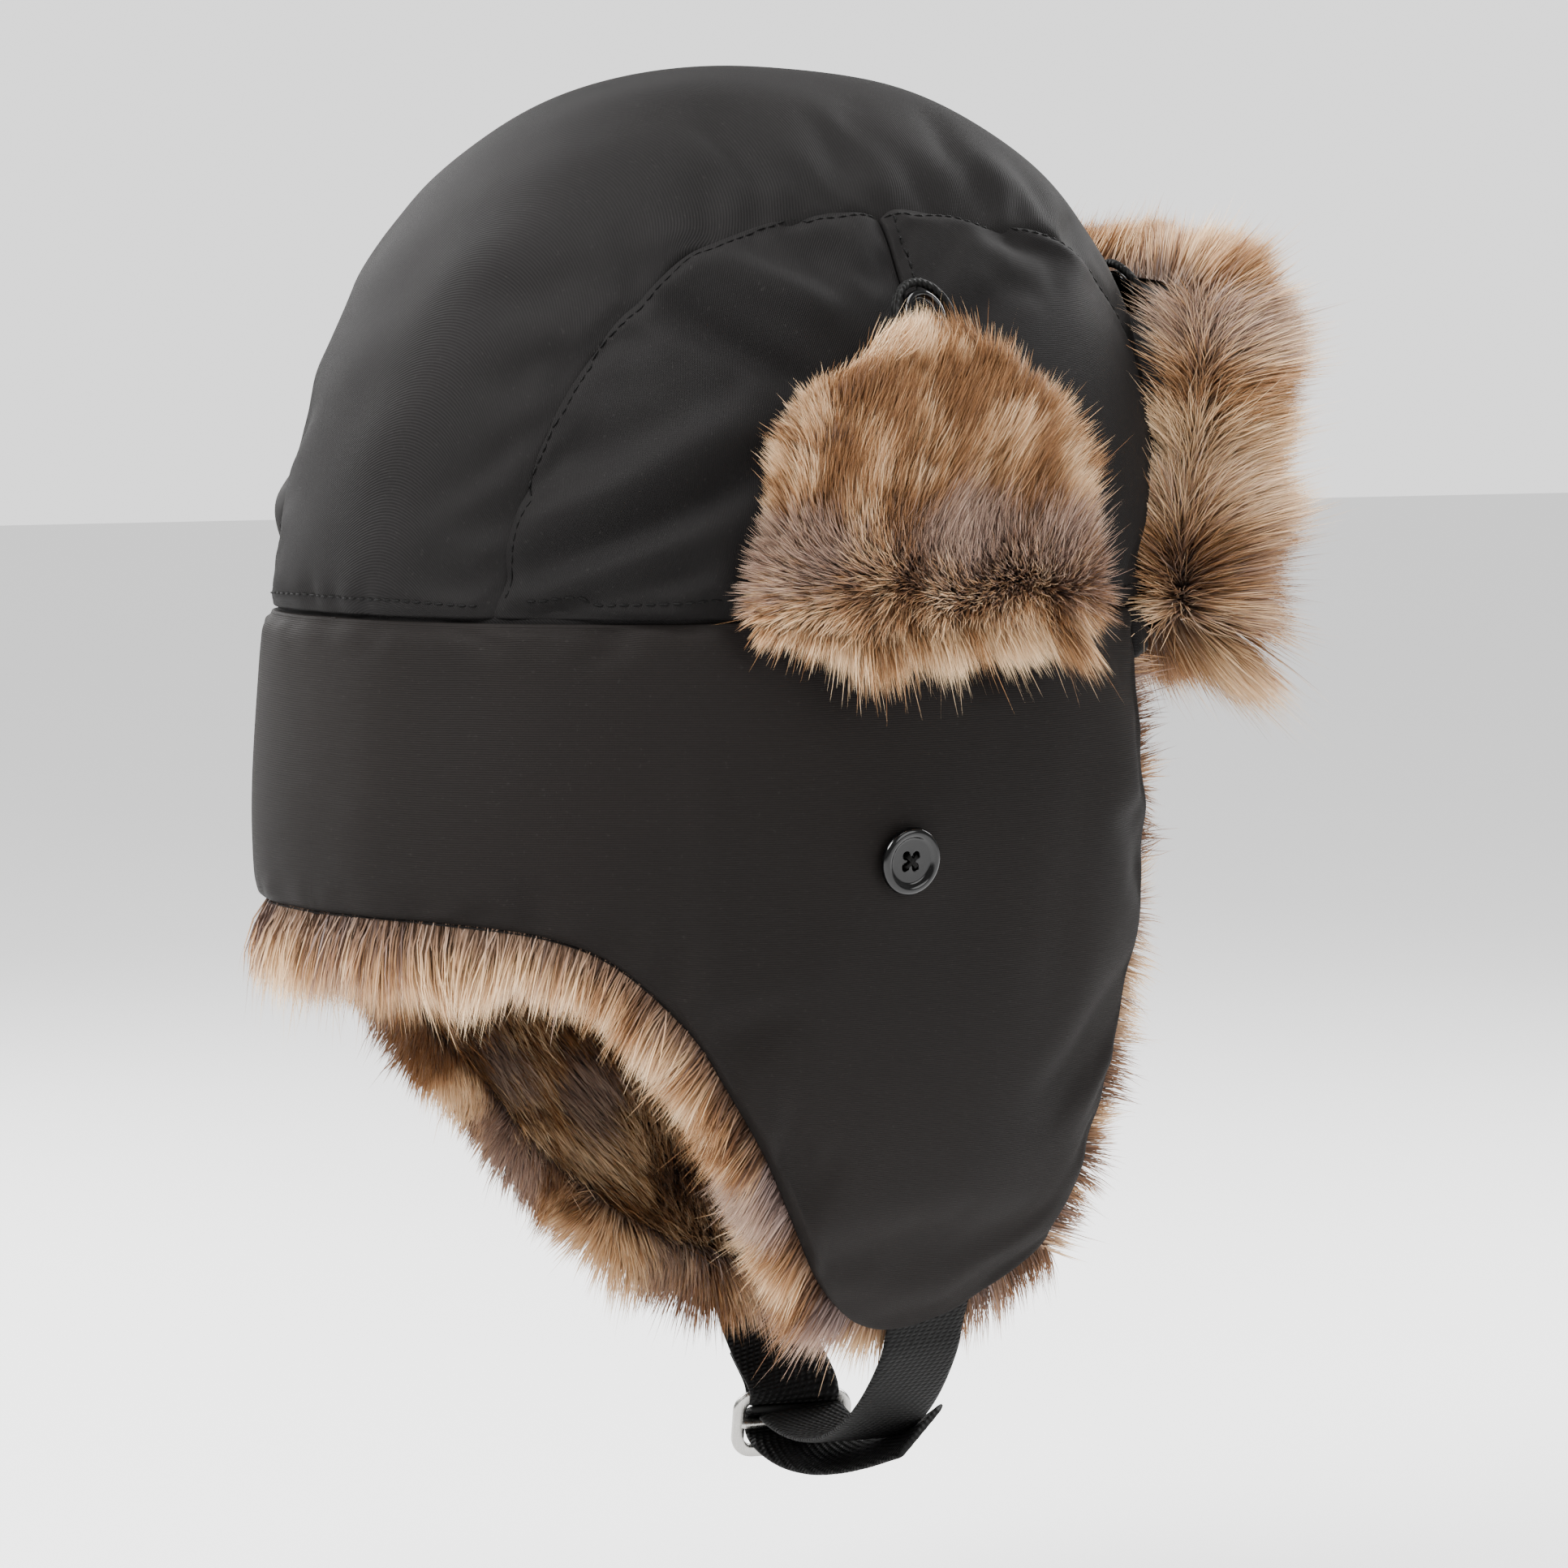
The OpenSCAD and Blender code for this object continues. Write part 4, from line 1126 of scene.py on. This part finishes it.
middle = bpy.data.objects["crown_centre"]
y = np.linspace(-101, 101, 240)
tau = np.linspace(0.06, share(seam_x(94) + 1.5, 0), 60)
rear_seam = crown_at(94, tau, 0.4)
for where, side in SIDES:
    own = [bpy.data.objects[f"crown_side_{part}_{where}_panel"] for part in ("front", "rear")]
    beta = np.linspace(2.2, 177.8, 300)
    stitch_row(f"arch_stitching_{where}", mirrored(crown_x(beta, seam_x(beta) + 1.9, 0.4), side), own)
    beside = side_at(rear_seam[:, 1] - 3.0, rear_seam[:, 2], 0.4)
    stitch_row(f"side_seam_stitching_{where}", mirrored(beside, side), own[:1])
    stitch_row(f"crown_seam_stitching_{where}", mirrored(side_at(y - lean(4.2), 4.2 + 0 * y, 0.4), side), own)
x = np.linspace(-SEAM_LOW + 2, SEAM_LOW - 2, 80)
for name, b in (("front", 2.0), ("rear", 178.0)):
    stitch_row(f"crown_seam_stitching_{name}", crown_x(b, x, 0.4), [middle])


# ---------- buttons, threads and loops ----------

def turned(a, b):
    """Matrix for rows of points that turns them by b about y, then by a about z."""
    ry = np.array([[math.cos(b), 0, math.sin(b)], [0, 1, 0], [-math.sin(b), 0, math.cos(b)]])
    rz = np.array([[math.cos(a), -math.sin(a), 0], [math.sin(a), math.cos(a), 0], [0, 0, 1]])
    return (rz @ ry).T


def frame_at(p, d, side):
    """Function that takes points from a button's own frame, its z axis along d, to the hat's."""
    d = unit(np.array(d, float))
    matrix = turned(math.atan2(d[1], d[0]), math.acos(d[2]))
    return lambda q: mirrored(np.asarray(q, float) @ matrix + np.array(p, float), side)


def lathe(profile, count):
    phi = np.arange(count) * 2 * math.pi / count
    r, z = np.array(profile, float).T
    return np.stack([r[:, None] * np.cos(phi), r[:, None] * np.sin(phi), z[:, None] + 0 * phi], -1)


def button_piece(name, r, place, side, body, node):
    """Turned button: raised round rim, groove, dished face with four holes."""
    w = r / 8.75
    face = [(r - 2.0 * w, 5.75), (r - 2.35 * w, 5.5), (r - 2.7 * w, 4.95), (r - 3.1 * w, 4.75)]
    flat = [(x, 4.72 + 0.05 * math.cos(x)) for x in np.linspace(r - 3.4 * w, 0.02, 34)]
    profile = [(0.02, 2.6), (r - 2.4, 2.6), (r - 1.2, 2.9), (r - 0.35, 3.6), (r, 4.35), (r - 0.08, 4.95),
               (r - 0.35 * w, 5.45), (r - 0.8 * w, 5.78), (r - 1.3 * w, 5.88), (r - 1.7 * w, 5.86),
               *face, *flat]
    rows = lathe(profile, 96)
    at = r * 0.24
    for k in range(4):
        a = math.pi / 4 + k * math.pi / 2
        far = np.hypot(rows[..., 0] - at * math.cos(a), rows[..., 1] - at * math.sin(a))
        hole = 1 - ease((far - 0.75) / 0.35)
        rows[..., 2] = np.where(rows[..., 2] > 4.3, rows[..., 2] - 1.7 * hole * (far < 1.2), rows[..., 2])
    faces = grid_faces(rows.shape[0], 96, wrap=True, flip=side < 0)
    obj = mesh_from(name, place(rows).reshape(-1, 3), faces)
    return finish_piece(obj, BUTTON, body, [node])


def thread_piece(name, r, place, side, body, node):
    """A shank under the button and crossed strands through its holes."""
    at = r * 0.24
    strands = []
    k = np.linspace(0, 1, 14)
    for a0 in (math.pi / 4, 3 * math.pi / 4):
        for n, off in enumerate((-0.32, 0.02, 0.34)):
            x = (k * 2 - 1) * (at + 0.12)
            top = 4.9 + 0.42 * np.sin(math.pi * k) + 0.14 * (a0 > 1) + 0.05 * n
            z = np.where((k < 0.06) | (k > 0.94), 3.2, top)
            strands.append(np.stack([x * math.cos(a0) - off * math.sin(a0),
                                     x * math.sin(a0) + off * math.cos(a0), z], -1))
    for k0 in range(5):
        a = np.linspace(0, 2 * math.pi, 14)
        strands.append(np.stack([(at + 0.3) * np.cos(a + k0), (at + 0.3) * np.sin(a + k0),
                                 0.7 + 0.42 * k0 + 0.42 * a / (2 * math.pi)], -1))
    co, faces = tube(np.array(strands), 0.27, 6)
    obj = mesh_from(name, place(co), faces)
    return finish_piece(obj, THREAD, body, [node])


def loop_piece(name, r, leg, lift, place, side, body, node):
    """Elastic cord round a button, its two ends sewn into the flap's edge."""
    c = r + 2.5
    a = np.linspace(-math.pi / 2, math.pi / 2, 40)
    arc = np.stack([c * np.cos(a) * 0.96, c * np.sin(a) * (1 - 0.10 * np.cos(a) ** 2),
                    lift + 0.9 + 0 * a], -1)
    k = np.linspace(1, 0, 14)[:-1, None] if leg else np.zeros((0, 1))
    first = np.concatenate([-k * leg, -c * (1 - 0.30 * k ** 2), lift + 0.9 - 0.8 * k ** 2], 1)
    second = first[::-1] * [1, -1, 1]
    path = np.concatenate([first, arc, second]) * [-1, -1, 1]
    co, faces = tube(path[None], 1.15, 10)
    obj = mesh_from(name, place(co), faces)
    return finish_piece(obj, ELASTIC, body, [node])


SIDE_AT, VISOR_AT, EAR_AT = side_at(-3, 74, 0), crown_x(39, 34, 0), low_at(2.6, -61, 0)
SIDE_N, VISOR_N, EAR_N = (0.93, -0.05, 0.36), (0.12, -0.86, 0.5), (0.985, 0.03, -0.14)
for where, side in SIDES:
    for part, spot, normal, r in (("side", SIDE_AT, SIDE_N, 6.5), ("visor", VISOR_AT, VISOR_N, 6.5),
                                  ("ear", EAR_AT, EAR_N, 8.75)):
        place = frame_at(spot, normal, side)
        button_piece(f"{part}_button_{where}_turned", r, place, side, "hat", f"{part}_button_{where}")
        thread_piece(f"{part}_thread_{where}_strands", r, place, side, "hat", f"{part}_thread_{where}")
    loop_piece(f"side_loop_{where}_cord", 6.5, 7, 3.6, frame_at(SIDE_AT, SIDE_N, side), side,
               f"side_flap_{where}", f"side_loop_{where}")
    loop_piece(f"visor_loop_{where}_cord", 6.5, 9, 4.0, frame_at(VISOR_AT, VISOR_N, side), side,
               "visor", f"visor_loop_{where}")


# ---------- chin strap ----------

def strap(name, path, across, body, node, width=25.0, thick=1.8, step=0.9):
    """Ribbed webbing along a path: rounded selvedges, fine ribs across it, given its width direction."""
    path, across = np.array(path, float), unit(np.array(across, float))
    fine = np.linspace(0, 1, 12 * (len(path) - 1) + 1)
    at = np.linspace(0, 1, len(path))
    q, w = line_at(fine, at, path), line_at(fine, at, across)
    for _ in range(40):
        for a in (q, w):
            a[1:-1] = (a[:-2] + 2 * a[1:-1] + a[2:]) / 4
    run = run_along(q)
    s = np.linspace(0, run[-1], max(8, int(run[-1] / step)))
    q, w = line_at(s, run, q), unit(line_at(s, run, w))
    d = unit(np.gradient(q, axis=0))
    w = unit(w - d * np.sum(w * d, 1, keepdims=True))
    n = np.cross(d, w)
    x = np.concatenate([np.linspace(-1, 1, 31), np.linspace(1, -1, 31)])
    half = np.concatenate([np.ones(31), -np.ones(31)])
    swell = np.clip(1 - np.abs(x) ** 10, 0, 1) ** 0.5
    rows = []
    for i in range(len(s)):
        rib = 0.10 * math.cos(s[i] * 2 * math.pi / 1.8) * (np.cos(x * math.pi * 6) * 0.5 + 0.5)
        rows.append(q[i] + w[i] * (x * width / 2)[:, None]
                    + n[i] * (half * (thick / 2 * np.maximum(swell, 0.35) + rib * (swell > 0.3)))[:, None])
    rows = np.array(rows)
    count = rows.shape[1]
    faces = [grid_faces(len(s), count, wrap=True),
             np.arange(count)[None, ::-1], np.arange(count)[None] + (len(s) - 1) * count]
    uv = np.stack([np.tile(x * width / 2, (len(s), 1)), np.tile(s[:, None], (1, count))], -1) * MM
    obj = mesh_from(name, rows.reshape(-1, 3), faces, uv={"UVMap": uv.reshape(-1, 2)})
    return finish_piece(obj, WEBBING, body, [node])


BAR = np.array([0.342, 0.94, 0.0])
short_path = [[42, -42, -179], [39.5, -42.5, -186], [37, -43, -193], [36, -43.4, -197.5],
              [33.8, -44.4, -203], [31, -45.3, -208.5], [27.6, -46.0, -212.9], [25.2, -46.2, -216.4],
              [25.0, -46.5, -219.8], [27.7, -47.5, -222.0], [29.2, -48.0, -218.9],
              [30.0, -47.6, -214.0], [33.4, -46.6, -208.5], [35.8, -45.6, -204]]
strap("short_strap_webbing", short_path, [BAR] * len(short_path), "ear_flap_left", "strap_short_left")


def bezier(a, b, c, d, k):
    m = 1 - k
    return a * m ** 3 + b * 3 * m * m * k + c * 3 * m * k * k + d * k ** 3


k = np.linspace(0, 1, 17)[:, None]
a, b, c, d = (np.array(v, float) for v in ((-37, -43, -197.5), (-22, -44, -224), (0, -46, -234),
                                           (23.8, -46.8, -222.7)))
strap("long_strap_webbing", np.concatenate([[[-43, -43, -179], [-40.5, -43, -186], [-38, -43, -193]],
                                            bezier(a, b, c, d, k)]),
      np.concatenate([[[0, 1, 0]] * 3, np.array([0, 1, 0]) * (1 - k) + BAR * k]),
      "ear_flap_right", "strap_long_right")
tail_path = [[25.2, -46.9, -222.5], [29.5, -48.3, -222.8], [32.2, -49.2, -225], [32.4, -49.3, -228.5],
             [30, -48.7, -231], [25, -47.6, -232.3], [16, -48.5, -234], [6, -50, -233.6],
             [-4, -51.5, -231], [-14, -53, -227], [-22, -54, -223]]
tail_across = [BAR + np.array([-0.05, -0.01, -0.105]) * max(i - 4, 0) for i in range(11)]
strap("strap_tail_webbing", tail_path, tail_across, "buckle", "strap_tail")


def buckle_piece():
    """Stamped slider: a rounded frame with a middle bar, all with softened edges."""
    at = np.array([29.0, -48.0, -227.0])
    matrix = turned(math.radians(-20), math.radians(-15))

    def ring_path(hy, hz, r, count=12):
        out = []
        for i, (y, z) in enumerate(((1, 1), (-1, 1), (-1, -1), (1, -1))):
            a = np.radians(90 * i + np.linspace(0, 90, count))
            out.append(np.stack([0 * a, y * (hy - r) + r * np.cos(a), z * (hz - r) + r * np.sin(a)], -1))
        return np.concatenate(out)

    path = ring_path(15, 8, 4.2)
    nxt, prv = np.roll(path, -1, 0), np.roll(path, 1, 0)
    d = unit(nxt - prv)
    out = np.cross(d, np.array([1.0, 0, 0]))
    phi = np.arange(20) * 2 * math.pi / 20
    c, s = np.cos(phi), np.sin(phi)
    across = np.sign(c) * np.abs(c) ** 0.6 * 1.75
    deep = np.sign(s) * np.abs(s) ** 0.6 * 1.15
    rows = path[:, None] + out[:, None] * across[None, :, None] + np.array([1.0, 0, 0]) * deep[None, :, None]
    count = len(path)
    i, j = np.meshgrid(np.arange(count), np.arange(20), indexing="ij")
    i2, j2 = (i + 1) % count, (j + 1) % 20
    faces = [np.stack([i * 20 + j, i2 * 20 + j, i2 * 20 + j2, i * 20 + j2], -1).reshape(-1, 4)]
    y = np.linspace(-14.4, 14.4, 24)
    bar, bar_faces = tube(np.stack([0 * y, y, 0.15 * np.cos(y / 5)], -1)[None], 1.35, 16)
    base = rows.reshape(-1, 3).shape[0]
    co = np.concatenate([rows.reshape(-1, 3), bar])
    return finish_piece(mesh_from("slider_buckle", co @ matrix + at, faces + [f + base for f in bar_faces]),
                        METAL, "buckle", ["buckle_frame"])


buckle_piece()


# ---------- floor, lights ----------

def floor_look():
    k = Look("floor", Roughness=0.9, Specular_IOR_Level=0.1, Emission_Color=(1, 1, 1, 1),
             Emission_Strength=0.75)
    k.to(Base_Color=k.mix(k.noise(3, 3), (0.70, 0.70, 0.70), (0.74, 0.74, 0.74)))
    return k.mat


n = 24
x, y = np.meshgrid(np.linspace(-9000, 9000, n), np.linspace(-9000, 9000, n))
floor = mesh_from("floor", np.stack([x, y, -300 + 0 * x], -1).reshape(-1, 3), grid_faces(n, n))
floor.data.materials.append(floor_look())


def area_light(name, azimuth, elevation, distance, size, power):
    """Soft light seen from the camera's azimuth turned by azimuth degrees."""
    a, e = AZIMUTH + math.radians(azimuth), math.radians(elevation)
    lamp = bpy.data.lights.new(name, "AREA")
    lamp.shape, lamp.size, lamp.energy = "DISK", size, power
    obj = bpy.data.objects.new(name, lamp)
    bpy.context.scene.collection.objects.link(obj)
    obj.location = Vector((math.sin(a) * math.cos(e), -math.cos(a) * math.cos(e), math.sin(e))) * distance
    obj.rotation_euler = (-obj.location).to_track_quat("-Z", "Y").to_euler()
    return obj


area_light("key", -52, 40, 1.6, 0.75, 64)
area_light("fill", 48, 22, 1.7, 1.2, 19)
area_light("top", 10, 82, 1.5, 1.1, 40)
area_light("rim_right", 135, 28, 1.6, 0.8, 30)
area_light("rim_left", -140, 24, 1.6, 0.8, 30)
world = bpy.data.worlds.new("studio")
bpy.context.scene.world = world
world.use_nodes = True
nodes, links = world.node_tree.nodes, world.node_tree.links
room = nodes["Background"]
room.inputs["Color"].default_value, room.inputs["Strength"].default_value = (1, 1, 1, 1), 0.5
backdrop = nodes.new("ShaderNodeBackground")
backdrop.inputs["Color"].default_value, backdrop.inputs["Strength"].default_value = (1, 1, 1, 1), 1.7
seen = nodes.new("ShaderNodeLightPath")
either = nodes.new("ShaderNodeMixShader")
links.new(seen.outputs["Is Camera Ray"], either.inputs[0])
links.new(room.outputs[0], either.inputs[1])
links.new(backdrop.outputs[0], either.inputs[2])
links.new(either.outputs[0], nodes["World Output"].inputs["Surface"])
